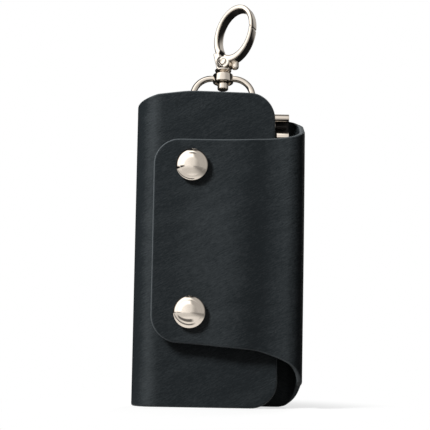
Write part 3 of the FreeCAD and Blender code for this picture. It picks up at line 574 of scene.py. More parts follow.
class Strip:
    """One side of the sheet from the middle of the back, round a fold, to the free edge of a flap.

    A place on it is (run, z): run is the distance along the sheet from the middle of the back.
    """

    def __init__(self, side, settings):
        self.side = side
        left = side < 0
        self.back_bend = settings.left_back_bend if left else settings.right_back_bend
        self.front_bend = settings.left_front_bend if left else settings.right_front_bend
        self.front = INNER_MID if left else OUTER_MID
        self.out = SIDE_OUT - 0.5 * settings.thickness
        self.flat = self.out - self.back_bend
        self.first = 0.5 * np.pi * self.back_bend
        self.straight = (BACK_MID - self.back_bend) - (self.front + self.front_bend)
        self.last = 0.5 * np.pi * self.front_bend
        self.fold = self.first + self.straight + self.last
        self.flap_start = self.flat + self.fold
        edge = high("inner_flap")[0] if left else -low("outer_flap")[0]
        self.end = self.flap_start + (self.out - self.front_bend) + edge
        self.middle = self.flat + self.first + 0.5 * self.straight

    def place(self, run):
        """Plan of the sheet's mid surface: back, bend, side, bend and flap.

        Returns x and y of the point, then x and y of the outward normal.
        """
        side = self.side
        a = np.clip((run - self.flat) / self.back_bend, 0.0, 0.5 * np.pi)
        b = np.clip((run - self.flat - self.first - self.straight) / self.front_bend, 0.0, 0.5 * np.pi)
        on_back = np.minimum(run, self.flat)
        on_side = np.clip(run - self.flat - self.first, 0.0, self.straight)
        on_flap = np.maximum(run - self.flap_start, 0.0)
        x = on_back + self.back_bend * np.sin(a) - self.front_bend * (1.0 - np.cos(b)) - on_flap
        y = BACK_MID - self.back_bend * (1.0 - np.cos(a)) - on_side - self.front_bend * np.sin(b)
        turn = a + b
        return side * x, y, side * np.sin(turn), np.cos(turn)

    def back_turn(self):
        """Where the bend at the back starts and ends."""
        return ((self.side * self.flat, BACK_MID, 0.0),
                (self.side * self.out, BACK_MID - self.back_bend, 0.0))

    def front_turn(self):
        """Where the bend at the front starts and ends."""
        return ((self.side * self.out, self.front + self.front_bend, 0.0),
                (self.side * (self.out - self.front_bend), self.front, 0.0))


# The top of the inner flap: how far it lies below its crest at the fold and at the corner, how far the crest
# is from each of them, and the room over which the crest is rounded
FOLD_DIP, CORNER_DIP = 1.5 * MM, 0.7 * MM
FOLD_TO_CREST, CREST_TO_CORNER = 11.5 * MM, 32.3 * MM
CREST_ROUND = 0.35 * MM

# The edges of the right strip, in millimetres: places from the start of the back bend, places from the start
# of the flap, and how far the upper edge has dropped or the lower one has risen at each of them
UPPER_ON_BACK = [-26.0, -1.5, 0.0, 2.5, 4.6, 7.9, 12.0, 15.7]
UPPER_ON_FLAP = [-5.5, -3.5, -1.5, 3.0, 12.0, 25.0, 54.0]
UPPER_DROP = [0.0, 0.05, 0.2, 0.7, 1.6, 2.9, 4.5, 6.0, 7.2, 8.1, 8.8, 9.6, 10.1, 10.5, 10.5]
LOWER_ON_BACK = [-26.0, -2.6, 0.0, 2.6, 3.9, 5.2, 6.5, 7.9, 12.0]
LOWER_ON_FLAP = [-8.4, -7.0, -6.0, -4.3, -2.6, -0.6, 1.8, 5.5, 11.6, 23.9, 36.3, 54.0]
LOWER_RISE = [0.0, 0.0, 0.45, 2.2, 3.5, 5.1, 6.8, 8.0, 8.5, 9.2, 10.2,
              11.3, 13.3, 15.2, 16.8, 18.0, 19.4, 21.1, 22.2, 23.2, 24.2]


def left_edges(strip, run):
    """Upper and lower edge of the left strip: level back, a rise round the fold, a low crest on the flap."""
    fold_top = FLAP_TOP - FOLD_DIP
    climb = BACK_TOP + (fold_top - BACK_TOP) * np.clip((run - strip.flat) / strip.fold, 0.0, 1.0)
    over = run - strip.flap_start
    rise = fold_top + over * (FOLD_DIP / FOLD_TO_CREST)
    fall = FLAP_TOP - (over - FOLD_TO_CREST) * (CORNER_DIP / CREST_TO_CORNER)
    crest = soft_lower(rise, fall, CREST_ROUND)
    return np.where(run < strip.flap_start, climb, crest), 0.0 * run


def right_edges(strip, run):
    """Upper and lower edge of the right strip: one slopes round the fold, the other sweeps up to the flap."""

    def line(on_back, on_flap, levels):
        starts = strip.flat + MM * np.array(on_back)
        places = np.concatenate([starts, strip.flap_start + MM * np.array(on_flap)])
        return eased(places, MM * np.array(levels), run)

    upper = BACK_TOP - line(UPPER_ON_BACK, UPPER_ON_FLAP, UPPER_DROP)
    return upper, line(LOWER_ON_BACK, LOWER_ON_FLAP, LOWER_RISE)


def stations(*spans):
    """Places along a strip: (start, end, count) spans, joined."""
    parts = [np.linspace(a, b, n, endpoint=False) for a, b, n in spans]
    return np.concatenate(parts + [np.array([spans[-1][1]])])


def corner_stations(end, radius, count):
    """Places that crowd towards a free edge as a quarter circle's do."""
    turn = np.linspace(0.0, 0.5 * np.pi, count + 1)
    return end - radius + radius * np.sin(turn)


SWELL_START = 4.0 * MM  # the flaps' unevenness comes in over this stretch of the fold's side


def bell(x, middle, width):
    """1 at the middle, falling off as exp(-t^2), where t is the distance in widths."""
    return np.exp(-((x - middle) / width) ** 2)


def plain(strip, run, z):
    """Neither swollen nor given painted light."""
    return 0.0 * run


def uneven(strip, run, z):
    """A slight wave all over a flap."""
    wave = 0.08 * MM * np.sin(run / (9.0 * MM)) * np.cos(z / (23.0 * MM))
    return wave * smooth_step(strip.middle, strip.middle + SWELL_START, run)


def low_down(z):
    """1 on the lower part of the outer flap, easing to a small share near its top."""
    return 0.15 + 0.85 * (1.0 - smooth_step(64.0 * MM, 96.0 * MM, z))


def flap_swell(strip, run, z):
    """The outer flap's bulge over the keys, the hollow beside it, the fold's crown and the slight wave."""
    over = run - strip.flap_start
    bulge = 0.9 * MM * low_down(z) * bell(over, 19.0 * MM, 7.5 * MM)
    hollow = -0.45 * MM * bell(over, 7.0 * MM, 5.0 * MM)
    crown = 0.20 * MM * bell(over, -1.0 * MM, 4.0 * MM)
    shown = smooth_step(strip.middle, strip.middle + SWELL_START, run)
    return (bulge + hollow + crown) * shown + uneven(strip, run, z)


def inner_painted_light(strip, run, z):
    """Painted light on the inner flap: a painted highlight on the fold's front, painted shade round its side,
    and a little darker all over.
    """
    over = run - strip.flap_start
    fold_highlight = 0.66 * bell(over, -1.2 * MM, 2.2 * MM)
    side = 0.3 * (1.0 - smooth_step(-7.0 * MM, -2.6 * MM, over))
    return fold_highlight - 0.12 - side


def outer_painted_light(strip, run, z):
    """Painted light on the outer flap: painted highlights on the bulge and the fold's crown, painted shade in
    the hollow and on the side, and darker towards the free edge.
    """
    over = run - strip.flap_start
    bulge = 0.20 * low_down(z) * bell(over, 29.0 * MM, 9.0 * MM)
    hollow = -0.24 * bell(over, 11.0 * MM, 5.5 * MM)
    crown = 0.16 * bell(over, 0.3 * MM, 3.0 * MM)
    edge = -0.11 * smooth_step(34.0 * MM, 43.0 * MM, over)
    side = 0.2 * (1.0 - smooth_step(-6.0 * MM, -2.0 * MM, over))
    return bulge + hollow + crown + edge - side


EDGE_ROWS = np.array([0.0, 0.03, 0.09, 0.18, 0.3, 0.45, 0.62, 0.8, 1.2, 2.0, 3.4]) * MM
MIDDLE_ROWS = np.linspace(0.045, 0.955, 58)
FLAP_LEAN, LEAN_START = 2.4 * MM, 8.0 * MM  # how far the inner flap's end leans in at its top, and from where
# The paler band along a cut edge is partly the edge's own colour and partly a painted highlight.
EDGE_AND_HIGHLIGHT_BAND = 0.75 * MM  # width of the paler band along a cut edge
FLESH_SHIFT = 0.5  # where the pattern of the sheet's inner side starts


def corner_bite(strip, runs, radius):
    """How far a round corner takes an edge back: r - sqrt(r^2 - d^2), d past the start of its arc."""
    past = np.maximum(runs - (strip.end - radius), 0.0)
    return radius - np.sqrt(np.maximum(radius ** 2 - past ** 2, 0.0))


def cut_gap(strip, run, z, edges, corners):
    """Distance to the nearest cut: the sloping edges and, on a flap, its end and the arcs at its corners."""
    tops, feet = [edge[:, None] for edge in edges]
    steep = [np.hypot(1.0, np.gradient(edge, run[:, 0]))[:, None] for edge in edges]
    gap = np.minimum((tops - z) / steep[0], (z - feet) / steep[1])
    if any(corners):
        gap = np.minimum(gap, strip.end - run)
        for level, radius, way in ((tops, corners[0], 1.0), (feet, corners[1], -1.0)):
            across = run - (strip.end - radius)
            along = way * (z - level) + radius
            inside = (across > 0.0) & (along > 0.0)
            gap = np.where(inside, np.minimum(gap, radius - np.hypot(across, along)), gap)
    return np.maximum(gap, 0.0)


def two_sided(sides, flip):
    """Close two grids of points, one for each side of a sheet, with walls along their four edges."""
    columns, count = sides[0].shape[:2]
    points = np.concatenate([side.reshape(-1, 3) for side in sides])
    number = np.arange(len(points)).reshape(2, columns, count)
    faces = [grid_faces(columns, count, 0, flip=flip),
             grid_faces(columns, count, columns * count, flip=not flip)]
    walls = ((number[:, :, 0], flip), (number[:, :, -1], not flip),
             (number[:, 0], not flip), (number[:, -1], flip))
    for (front, back), turned in walls:
        quads = np.stack([front[:-1], back[:-1], back[1:], front[1:]], axis=1)
        faces.append(quads[:, ::-1] if turned else quads)
    return points, faces


def leather_piece(name, strip, runs, edges, corners, swell, rub, settings):
    """A stretch of the sheet: columns between its two edges, thinned to a round at each cut edge.

    The half thickness at a distance d from a cut edge is t/2 - r + sqrt(r^2 - (r - d)^2) within r of it.
    """
    upper, lower = edges(strip, runs)
    tops = upper - corner_bite(strip, runs, corners[0])
    feet = lower + corner_bite(strip, runs, corners[1])
    near = EDGE_ROWS / FLAP_TOP
    rows = np.concatenate([near, MIDDLE_ROWS, 1.0 - near[::-1]])
    run = runs[:, None] + 0.0 * rows
    z = feet[:, None] + (tops - feet)[:, None] * rows
    gap = cut_gap(strip, run, z, (upper, lower), corners)
    if strip.side < 0 and any(corners):
        run = run - FLAP_LEAN * (z / FLAP_TOP) * smooth_step(strip.flap_start + LEAN_START, strip.end, run)
    x, y, nx, ny = strip.place(run)
    half, round_off = 0.5 * settings.thickness, settings.edge_round
    near_edge = np.minimum(gap, round_off)
    thick = half - round_off + np.sqrt(np.maximum(round_off ** 2 - (round_off - near_edge) ** 2, 0.0))
    lift = swell(strip, run, z)
    sides = [np.stack([x + nx * push, y + ny * push, z], axis=-1) for push in (lift + thick, lift - thick)]
    piece = new_piece(name, *two_sided(sides, flip=strip.side > 0))
    # Paler band along each cut edge: partly its own colour, partly a painted highlight.
    edge_and_highlight = np.clip(1.0 - gap / EDGE_AND_HIGHLIGHT_BAND, 0.0, 1.0)
    # Painted highlights and shade, on the grain side only.
    painted_tone = rub(strip, run, z)
    for label, grain_side, flesh_side in (("edge", edge_and_highlight, edge_and_highlight), ("rub", painted_tone, 0.0 * painted_tone)):
        values = np.concatenate([grain_side.ravel(), flesh_side.ravel()]).astype(np.float32)
        piece.data.attributes.new(label, "FLOAT", "POINT").data.foreach_set("value", values)
    pattern = np.stack([strip.side * run, z], axis=-1).reshape(-1, 2)
    pattern = np.concatenate([pattern, pattern + np.array([FLESH_SHIFT, 0.0])])
    corner_points = np.zeros(len(piece.data.loops), np.int32)
    piece.data.loops.foreach_get("vertex_index", corner_points)
    layer = piece.data.uv_layers.new(name="pattern")
    layer.data.foreach_set("uv", pattern[corner_points].astype(np.float32).ravel())
    dress(piece, "leather")
    return piece


class KEYCASE_OT_leather(bpy.types.Operator):
    """Make the leather sheet in four stretches that meet in the back and in the folds"""

    bl_idname = "keycase.leather"
    bl_label = "Leather sheet"

    def execute(self, context):
        settings = context.scene.case_leather
        left, right = Strip(-1, settings), Strip(1, settings)
        none = (0.0, 0.0)
        inner_corners = (settings.inner_corner_top, settings.inner_corner_bottom)
        outer_corners = (settings.outer_corner, settings.outer_corner)
        slope_start, hollow_end = 20.0 * MM, right.flap_start + 14.0 * MM
        left_runs = stations((0.0, left.flat, 14), (left.flat, left.middle, 16))
        right_runs = stations((0.0, slope_start, 10), (slope_start, right.flat, 8),
                              (right.flat, right.middle, 18))
        inner_runs = np.concatenate([
            stations((left.middle, left.flap_start, 22),
                     (left.flap_start, left.end - settings.inner_corner_bottom, 22))[:-1],
            corner_stations(left.end, settings.inner_corner_bottom, 26)])
        outer_runs = np.concatenate([
            stations((right.middle, right.flap_start, 26), (right.flap_start, hollow_end, 14),
                     (hollow_end, right.end - settings.outer_corner, 14))[:-1],
            corner_stations(right.end, settings.outer_corner, 26)])
        back_left = leather_piece(
            "leather_back_left", left, left_runs, left_edges, none, plain, plain, settings)
        back_right = leather_piece(
            "leather_back_right", right, right_runs, right_edges, none, plain, plain, settings)
        inner_flap = leather_piece(
            "leather_inner_flap", left, inner_runs, left_edges, inner_corners, uneven, inner_painted_light, settings)
        outer_flap = leather_piece(
            "leather_outer_flap", right, outer_runs, right_edges, outer_corners, flap_swell, outer_painted_light,
            settings)
        for piece, bodies, nodes, (start, stop) in (
            (back_left, ("case", "left_fold"), ("back_panel", "left_fold"), left.back_turn()),
            (back_right, ("case", "right_fold"), ("back_panel", "right_fold"), right.back_turn()),
            (inner_flap, ("left_fold", "inner_flap"), ("left_fold", "inner_flap"), left.front_turn()),
            (outer_flap, ("right_fold", "outer_flap"), ("right_fold", "outer_flap"), right.front_turn()),
        ):
            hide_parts(*nodes)
            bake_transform(piece)
        return {"FINISHED"}


# Hardware

LOOP_FOOT, LOOP_RIGHT = joint("loop_tilt")
KEY_HOOKS = ["key_hook_%d" % number for number in range(1, 7)]
KEY_GATES = ["key_hook_gate_%d" % number for number in range(1, 7)]


def fitting(name, solid, body, node, finish="nickel"):
    """A plated piece that takes the place of a CAD node and goes with its body."""
    piece = outwards(new_piece(name, *solid))
    dress(piece, finish)
    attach(piece, body)
    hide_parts(node)


class KEYCASE_OT_snaps(bpy.types.Operator):
    """Make the two snap caps, a part of a sphere on a curved brim, and finish the hidden halves"""

    bl_idname = "keycase.snaps"
    bl_label = "Snap fasteners"

    def execute(self, context):
        points, faces = spun(self.profile(context.scene.case_hardware))
        seat = low("outer_flap")[1]
        for number in (1, 2):
            node = "snap_cap_%d" % number
            middle = 0.5 * (low(node) + high(node))
            placed = [middle[0] + points[:, 0], seat - points[:, 2], middle[2] + points[:, 1]]
            fitting("cap_%d" % number, (np.stack(placed, axis=1), faces), "outer_flap", node)
        hidden = ["snap_%s_%d" % (kind, n) for kind in ("socket", "stud", "eyelet") for n in (1, 2)]
        finish_nodes(hidden, "steel")
        return {"FINISHED"}

    def profile(self, settings):
        """Radius and height from the crown to the post's end.

        The dome is part of a sphere, whose radius is (b^2 + h^2) / 2h for a base b and a rise h. The brim
        falls by (s + s^2) / 2 of its drop at a share s of its width. A rim, its foot and the post follow.
        """
        radius, height = settings.cap_radius, settings.cap_height
        base, brim_height, rim_height = settings.cap_dome * radius, settings.cap_brim, settings.cap_rim
        rim_foot, tuck, foot = 1.4 * MM, 1.0 * MM, -0.05 * MM
        post_radius, post_flare, post_end = 1.6 * MM, 2.3 * MM, -2.75 * MM
        rise = height - brim_height
        bow = (base ** 2 + rise ** 2) / (2.0 * rise)
        turn = np.linspace(0.0, math.asin(base / bow), 40)
        dome = np.stack([bow * np.sin(turn), height - bow * (1.0 - np.cos(turn))], axis=1)
        step = np.linspace(0.012, 1.0, 16)
        fall = (brim_height - rim_height) * 0.5 * (step + step ** 2)
        brim = np.stack([base + (radius - base) * step, brim_height - fall], axis=1)
        rim = rounded([brim[-1], [radius, rim_foot], [radius - tuck, foot], [post_radius, foot]],
                      [0.3 * MM, 0.1 * MM], steps=5)
        post = np.array([[post_radius, post_end - foot], [post_flare, post_end], [0.0, post_end]])
        return np.concatenate([dome, brim, rim[1:], post])


def strip_outline(path, thickness):
    """The closed outline of a bent strip: its middle line pushed out by half the thickness on both sides."""
    side = 0.5 * thickness * right_of(np.gradient(path, axis=0))
    return np.concatenate([path + side, (path - side)[::-1]])


def lengthwise(solid):
    """A plate whose outline is depth and height in millimetres, laid along the bar."""
    points, faces = solid
    return points[:, [2, 0, 1]] * MM, faces


class KEYCASE_OT_key_bar(bpy.types.Operator):
    """Make the key bar with its rolled lips and a black plate of painted shade in its channel, and finish its
    rivets and key hooks, and its rod in black as painted shade
    """

    bl_idname = "keycase.key_bar"
    bl_label = "Key bar and hooks"

    def execute(self, context):
        fitting("bar", self.bar(context.scene.case_hardware), "case", "key_bar")
        # The black plate in the channel is painted shade.
        fitting("bar_bed", self.painted_shade_plate(), "case", "key_bar", "painted_shade")
        finish_nodes(["bar_rivet_1", "bar_rivet_2"], "nickel")
        finish_nodes(KEY_HOOKS + KEY_GATES, "steel")
        # The rod is blackened as painted shade in the channel.
        finish_nodes(["key_rod"], "painted_shade")
        return {"FINISHED"}

    def bar(self, settings):
        """A strip bent to a channel with two rolled lips, and a knuckle curled round the foot of the loop.

        The lower lip is cut away for the hooks, and two tabs close the channel. All in millimetres.
        """
        sheet, burr = settings.bar_sheet / MM, 0.12
        half = 0.5 * sheet
        near, far = low("key_bar")[1] / MM + half, high("key_bar")[1] / MM - half
        foot = low("key_bar")[2] / MM + half
        axis = LOOP_FOOT / MM
        overhang, lift = 0.5, 0.3
        head = 2.0 * axis[2] - high("key_bar")[2] / MM + lift - half
        end = high("key_bar")[0] / MM + overhang
        roll, lap, lower_roll, lip = 2.2, 0.8, 1.7, 1.6
        join_low, join_high = 1.0, 1.4
        upper_bends, lower_bends = [1.09, 1.09, 0.9], [0.9, 1.2, 0.84]
        upper = rounded([[near + lip, head - roll], [near, head - roll], [near, head], [far, head],
                         [far, foot + join_low]], upper_bends, steps=8)
        lower = rounded([[far, foot + join_high], [far, foot - lap], [near, foot - lap],
                         [near, foot + lower_roll], [near + lip, foot + lower_roll]], lower_bends, steps=8)
        solids = [lengthwise(slab(strip_outline(upper, sheet), -end, end, burr))]
        hooks = sorted(0.5 * (low(name) + high(name))[0] / MM for name in KEY_HOOKS)
        slot_half = 2.5
        cuts = np.array(hooks)[:, None] + np.array([-slot_half, slot_half])
        spans = np.concatenate([[-end], cuts.ravel(), [end]]).reshape(-1, 2)
        solids += [lengthwise(slab(strip_outline(lower, sheet), a, b, burr)) for a, b in spans]
        knuckle_half, root_depth, play, curl_end = 6.0, 2.0, 0.12, 330.0
        reach = settings.loop_wire / (2.0 * MM) + play + half
        curl = np.radians(np.linspace(0.0, curl_end, 60))
        ring = axis[1:] + reach * np.stack([np.cos(curl), np.sin(curl)], axis=1)
        knuckle = np.concatenate([[[axis[1] + reach, head - root_depth]], ring])
        solids.append(lengthwise(slab(strip_outline(knuckle, sheet), -knuckle_half, knuckle_half, burr)))
        tab = np.array([[near + half, foot + half], [far - half, foot + half],
                        [far - half, head - half], [near + half, head - half]])
        tab_place, tab_half, tab_burr = 15.0, 0.35, 0.1
        for x in (-tab_place, tab_place):
            solids.append(lengthwise(slab(tab, x - tab_half, x + tab_half, tab_burr)))
        return gather(*solids)

    def painted_shade_plate(self):
        """A thin black plate of painted shade on the floor of the channel, in millimetres."""
        back, foot = high("key_bar")[1] / MM, low("key_bar")[2] / MM
        front_depth, back_depth, first, last, overhang = 1.02, 0.88, 1.1, 8.3, 0.52
        near, far = back - front_depth, back - back_depth
        bottom, top = foot + first, foot + last
        end = high("key_bar")[0] / MM + overhang
        outline = np.array([[near, bottom], [far, bottom], [far, top], [near, top]])
        return lengthwise(slab(outline, -end, end, round_off=0.02))


HOOK_FOOT, HOOK_UP = joint("hook_swivel")
HOOK_FRONT = joint("snap_gate_press")[1]
HOOK_RIGHT = np.cross(HOOK_UP, HOOK_FRONT)

# The snap hook in its own frame (right, up, front), in millimetres: the gate's pin, and the ovals of the eye
# and of the ring's outer edge with their half lengths and their lean in degrees
PIN_X, PIN_Z = 1.1, 4.4
EYE = {"x": 5.11, "z": 16.28, "long": 8.95, "short": 5.80, "lean": 15.7}
RING = {"x": 4.92, "z": 15.77, "long": 11.97, "short": 7.71, "lean": 16.8}

# Where each limb starts and ends on the eye and on the outer edge, in degrees clockwise from the top
HOOK_LIMB = (214.0, 426.0), (206.0, 433.5)
TONGUE = (425.0, 428.8), (432.5, 436.1)
GATE_LIMB = (68.2, 195.0), (75.5, 183.0)
TONGUE_SIZE = 0.8

# Places along a limb as shares of its length, and how much smaller its section is at the very end
LIMB_ENDS = np.array([0.0, 0.0015, 0.0035, 0.006, 0.009])
LIMB_MIDDLE = np.linspace(0.014, 0.986, 120)
END_LOSS = 0.22


def on_hook(solid):
    """Carry a solid from the hook's own frame into the world."""
    points, faces = solid
    return HOOK_FOOT + MM * points @ np.stack([HOOK_RIGHT, HOOK_UP, HOOK_FRONT]), faces


def upright(solid):
    """A turned solid with its axis along the hook's stem."""
    points, faces = solid
    return np.stack([points[:, 0], points[:, 2], -points[:, 1]], axis=1), faces


def oval(degrees, x, z, long, short, lean):
    """An ellipse, clockwise from its top: centre + long cos a along its lean + short sin a across it."""
    angle, lean = np.radians(degrees), math.radians(lean)
    along = np.array([math.sin(lean), math.cos(lean)])
    across = np.array([math.cos(lean), -math.sin(lean)])
    return np.array([x, z]) + long * np.cos(angle)[:, None] * along + short * np.sin(angle)[:, None] * across


def limb(eye_span, ring_span, settings, size=1.0):
    """A stretch of the oval ring: its section runs from the eye to the outer edge, smaller at both ends."""
    part = np.concatenate([LIMB_ENDS, LIMB_MIDDLE, 1.0 - LIMB_ENDS[::-1]])
    inner = oval(eye_span[0] + (eye_span[1] - eye_span[0]) * part, **EYE)
    outer = oval(ring_span[0] + (ring_span[1] - ring_span[0]) * part, **RING)
    near = np.minimum(part, 1.0 - part)
    full = size * (1.0 - END_LOSS * np.maximum(1.0 - near / LIMB_ENDS[-1], 0.0) ** 2)
    half = 0.5 * (outer - inner) * full[:, None]
    front = 0.5 * settings.ring_depth / MM * (0.5 + 0.5 * full)
    return tube(0.5 * (inner + outer), half, front, settings.edge_softness, settings.splay)


class KEYCASE_OT_snap_hook(bpy.types.Operator):
    """Make the swivel loop with its boss and the snap hook with its gate and pin"""

    bl_idname = "keycase.snap_hook"
    bl_label = "Swivel snap hook"

    def execute(self, context):
        settings = context.scene.case_hardware
        fitting("loop", self.loop(settings), "swivel_loop", "swivel_loop")
        fitting("hook", on_hook(self.hook(settings)), "snap_hook", "hook_body")
        fitting("gate", on_hook(self.gate(settings)), "snap_gate", "snap_gate")
        fitting("pin", on_hook(self.pin(settings)), "snap_hook", "gate_pin")
        return {"FINISHED"}

    def loop(self, settings):
        """Wire: a circle carried along a round-shouldered line; boss: a turned cup over the stem's end."""
        half, rise, wire = settings.loop_half / MM, settings.loop_rise / MM, 0.5 * settings.loop_wire / MM
        inside, shoulder, foot_bend = 3.0, 7.3, 3.0
        corners = [[inside, rise], [half, rise], [half, 0.0], [-half, 0.0], [-half, rise], [-inside, rise]]
        path = rounded(corners, [shoulder, foot_bend, foot_bend, shoulder], steps=24)
        side = wire * right_of(np.gradient(path, axis=0))
        points, faces = tube(path, side, np.full(len(path), wire), power=1.0, steps=32)
        front = np.cross(LOOP_RIGHT, HOOK_UP)
        placed = LOOP_FOOT + MM * points @ np.stack([LOOP_RIGHT, HOOK_UP, front])
        radius, bore = settings.boss_radius / MM, 3.0
        top, ledge, foot = -0.1, -2.6, -3.5
        cup = rounded([[0.0, top], [radius, top], [radius, foot], [bore, foot], [bore, ledge], [0.0, ledge]],
                      [0.55, 0.4, 0.25, 0.2], steps=7)
        return gather((placed, faces), on_hook(upright(spun(cup))))

    def hook(self, settings):
        """The limb from the base over the top to the nose, the base beside the ears, collar and stem."""
        deep = 0.5 * settings.ring_depth / MM
        hollow, hollow_start, hollow_end = 2.62, -82.0, -236.0
        turn = np.radians(np.linspace(hollow_start, hollow_end, 40))
        beside = np.stack([PIN_X + hollow * np.cos(turn), PIN_Z + hollow * np.sin(turn)], axis=1)
        left = rounded([[-0.9, 8.3], [-3.3, 8.45], [-1.65, 1.5], [1.4, 1.5]], [0.45, 0.6], steps=8)
        base = slab(np.concatenate([left, beside]), -deep, deep, round_off=0.35)
        turned = rounded([[0.0, 1.8], [3.2, 1.8], [3.1, 1.3], [1.5, 0.3],
                          [1.45, -2.7], [2.1, -2.7], [2.1, -6.3], [0.0, -6.3]],
                         [0.1, 0.1, 0.4, 0.05, 0.3, 0.45], steps=6)
        tongue = limb(*TONGUE, settings, TONGUE_SIZE)
        return gather(limb(*HOOK_LIMB, settings), tongue, base, upright(spun(turned)))

    def gate(self, settings):
        """The sprung limb from the nose to the pin, its round ears and the thumb heel at its foot."""
        deep = 0.5 * settings.ring_depth / MM
        ears = slab(disc(PIN_X, PIN_Z, radius=2.4), -deep, deep, round_off=0.4)
        heel_depth, heel_low, heel_high, heel_left, heel_right = -1.2, 3.2, 4.6, 3.0, 5.9
        outline = capsule((heel_depth, heel_low), (heel_depth, heel_high), radius=1.4)
        points, faces = slab(outline, heel_left, heel_right, round_off=1.2)
        heel = points[:, [2, 1, 0]], faces
        return gather(limb(*GATE_LIMB, settings), ears, heel)

    def pin(self, settings):
        """A shank with a dimpled round head at each end."""
        proud = 0.05
        deep = 0.5 * settings.ring_depth / MM + proud
        head = np.array([[0.0, 0.2], [0.7, 0.22], [1.1, 0.35], [1.35, 0.12], [1.33, 0.0], [0.8, 0.0]])
        head = head + np.array([0.0, deep])
        points, faces = spun(np.concatenate([head, head[::-1] * np.array([1.0, -1.0])]), steps=48)
        return points + np.array([PIN_X, PIN_Z, 0.0]), faces


# Stage

WHITE, BLACK, WARM = (1.0, 1.0, 1.0, 1.0), (0.0, 0.0, 0.0, 1.0), (1.0, 0.96, 0.91, 1.0)
DIM_GREY = (0.2, 0.2, 0.2, 1.0)
FLOOR_STEPS, FLOOR_HALF, FLOOR_FRONT, FLOOR_BACK = 9, 0.45, -0.75, 0.15
FLOOR_LEVEL = -0.05 * MM
LAMP_AIM = np.array([0.0, 0.0, 0.075])
LAMPS = (  # place, width, height and watts
    ("key_softbox", (-0.50, -0.48, 0.58), 0.18, 0.22, 11.6),
    ("front_softbox", (0.22, -0.60, 0.72), 0.50, 0.35, 0.4),
    ("rear_softbox", (0.30, 0.70, 0.40), 0.50, 0.40, 4.0),
)
FILL_LIGHT, UNLIT_ROOM = 0.045, 0.012
CASE_FRONT = 5.0 * MM
SENSOR_WIDTH = 36.0
NEAREST = 0.01


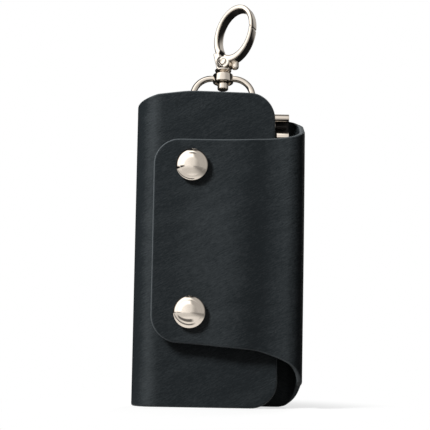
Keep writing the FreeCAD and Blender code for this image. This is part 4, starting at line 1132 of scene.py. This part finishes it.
class KEYCASE_OT_stage(bpy.types.Operator):
    """Set up the pale floor, the soft studio light and the camera"""

    bl_idname = "keycase.stage"
    bl_label = "Studio"

    def execute(self, context):
        scene = context.scene
        settings = scene.case_stage
        scene.view_settings.view_transform = "Standard"
        self.floor(settings)
        self.world(scene)
        self.lamps(scene)
        self.camera(scene, settings)
        return {"FINISHED"}

    def floor(self, settings):
        """A sheet that keeps the case's shadow, whitens away from it, and shows metal its lit left side."""
        x, y = np.meshgrid(np.linspace(-FLOOR_HALF, FLOOR_HALF, FLOOR_STEPS),
                           np.linspace(FLOOR_FRONT, FLOOR_BACK, FLOOR_STEPS), indexing="ij")
        points = np.stack([x.ravel(), y.ravel(), 0.0 * x.ravel() + FLOOR_LEVEL], axis=1)
        piece = new_piece("studio_floor", points, [grid_faces(FLOOR_STEPS, FLOOR_STEPS, flip=True)])
        made = Finish("pale_floor")
        place = made.node("ShaderNodeTexCoord", {}, {}, "Object")
        span = made.node("ShaderNodeVectorMath", {"operation": "LENGTH"}, {0: place}, "Value")
        across, depth = made.part(place, "X"), made.part(place, "Y")
        # What metal sees: light that fades round the case, to the right and behind, and a dark strip of
        # painted shade in front of the case on its left
        around = 1.0 - span.within(0.06, 0.10, 0.20, 0.45) * 0.25
        rightwards = 1.0 - across.between(-0.02, 0.16) * 0.65
        on_left = 1.0 - across.between(-0.004, 0.014)
        strip = 1.0 - depth.within(-0.053, -0.045, -0.033, -0.027) * on_left * 0.85
        backwards = 1.0 - depth.between(-0.01, 0.02) * 0.97
        lit_side = around * rightwards * strip * backwards
        seen = made.ray("Camera") * (span.between(0.03, 0.08) * 0.33 + 0.67)
        dull = made.blend(made.ray("Diffuse"), opaque(settings.floor), DIM_GREY)
        made.set(Base_Color=dull, Roughness=0.9, Specular_IOR_Level=0.0)
        white, black, warm = [
            made.node("ShaderNodeEmission", {}, {"Color": tint}) for tint in (WHITE, BLACK, WARM)]
        glow = made.mix(lit_side, black, warm)
        shown = made.mix(seen, Value(made, made.shader.outputs["BSDF"]), white)
        surface = made.tree.nodes["Material Output"].inputs["Surface"]
        made.feed(surface, made.mix(made.ray("Glossy"), shown, glow))
        piece.data.materials.append(made.material)

    def world(self, scene):
        """The camera sees white. Metal sees a dark room with a bright left, a bright front and a dim right.

        A direction is given by x, y, z and its turn in radians, 0 to the front and growing to the right.
        """
        world = bpy.data.worlds.new("studio")
        scene.world = world
        world.use_nodes = True
        made = Nodes(world.node_tree)
        made.tree.nodes.clear()
        way = made.node("ShaderNodeTexCoord", {}, {}, "Generated")
        x, y, z = [made.part(way, axis) for axis in "XYZ"]
        ahead = 0.0 - y
        turn = x.math("ARCTAN2", ahead)
        cone = ahead.between(0.60, 0.76)
        beside = (1.0 - cone) * (1.0 - z.between(0.92, 0.99))
        left = beside * turn.within(-1.50, -1.25, 0.0, 0.5) * z.between(-0.08, 0.06) * 1.7
        front = cone * (1.20 - x.between(-0.55, 0.10) * 0.25 - x.between(0.05, 0.65) * 0.50)
        right = beside * turn.within(0.1, 0.5, 1.35, 1.65) * z.between(-0.30, -0.15) * 0.50
        back_right = turn.within(2.05, 2.40, 2.75, 2.95) * z.between(-0.05, 0.10) * 0.50
        behind = turn.math("ABSOLUTE").between(2.98, 3.08) * z.between(-0.30, -0.10)
        room = (left + right + front + back_right + behind) * z.between(-0.6, -0.25) + UNLIT_ROOM
        fill, walls, white = [
            made.node("ShaderNodeBackground", {}, {"Color": tint, "Strength": strength})
            for tint, strength in ((WHITE, FILL_LIGHT), (WARM, room), (WHITE, 1.0))]
        indoors = made.mix(made.ray("Glossy") + made.ray("Transmission"), fill, walls)
        surface = made.mix(made.ray("Camera"), indoors, white)
        made.node("ShaderNodeOutputWorld", {}, {"Surface": surface}, None)

    def lamps(self, scene):
        """Soft boxes turned towards the case, not seen in the metal."""
        for name, place, width, tall, power in LAMPS:
            lamp = bpy.data.lights.new(name, "AREA")
            lamp.shape = "RECTANGLE"
            lamp.size, lamp.size_y = width, tall
            lamp.energy = power
            piece = bpy.data.objects.new(name, lamp)
            piece.location = place
            way = np.array(place) - LAMP_AIM
            pitch = math.atan2(math.hypot(way[0], way[1]), way[2])
            piece.rotation_euler = (pitch, 0.0, math.atan2(way[0], -way[1]))
            piece.visible_glossy = False
            scene.collection.objects.link(piece)

    def camera(self, scene, settings):
        """A long lens low in front of the case, pitched up to its aim and leaning a little."""
        lens = bpy.data.cameras.new("photo_camera")
        lens.sensor_width = SENSOR_WIDTH
        lens.lens = SENSOR_WIDTH * settings.distance / settings.field
        lens.clip_start = NEAREST
        piece = bpy.data.objects.new("photo_camera", lens)
        pitch = math.atan2(settings.aim_z - settings.eye_height, settings.distance)
        piece.location = (settings.aim_x, -settings.distance - CASE_FRONT, settings.eye_height)
        piece.rotation_euler = (0.5 * math.pi + pitch, settings.roll, 0.0)
        scene.collection.objects.link(piece)
        scene.camera = piece


class KEYCASE_PT_panel(bpy.types.Panel):
    """Lists the steps that build the key case"""

    bl_idname = "KEYCASE_PT_panel"
    bl_label = "Key case"
    bl_space_type = "VIEW_3D"
    bl_region_type = "UI"
    bl_category = "Key case"

    def draw(self, context):
        for step in STEPS:
            self.layout.operator(step.bl_idname)


SETTINGS = (LeatherSettings, HardwareSettings, StageSettings)
STEPS = (KEYCASE_OT_stage, KEYCASE_OT_leather, KEYCASE_OT_snaps, KEYCASE_OT_key_bar, KEYCASE_OT_snap_hook)
CLASSES = (*SETTINGS, *STEPS, KEYCASE_PT_panel)


def register():
    for item in CLASSES:
        bpy.utils.register_class(item)
    bpy.types.Scene.case_leather = bpy.props.PointerProperty(type=LeatherSettings)
    bpy.types.Scene.case_hardware = bpy.props.PointerProperty(type=HardwareSettings)
    bpy.types.Scene.case_stage = bpy.props.PointerProperty(type=StageSettings)


def unregister():
    del bpy.types.Scene.case_stage
    del bpy.types.Scene.case_hardware
    del bpy.types.Scene.case_leather
    for item in reversed(CLASSES):
        bpy.utils.unregister_class(item)


def main():
    register()
    bpy.ops.keycase.stage()
    bpy.ops.keycase.leather()
    bpy.ops.keycase.snaps()
    bpy.ops.keycase.key_bar()
    bpy.ops.keycase.snap_hook()
    bpy.context.view_layer.update()


if __name__ == "__main__":
    main()
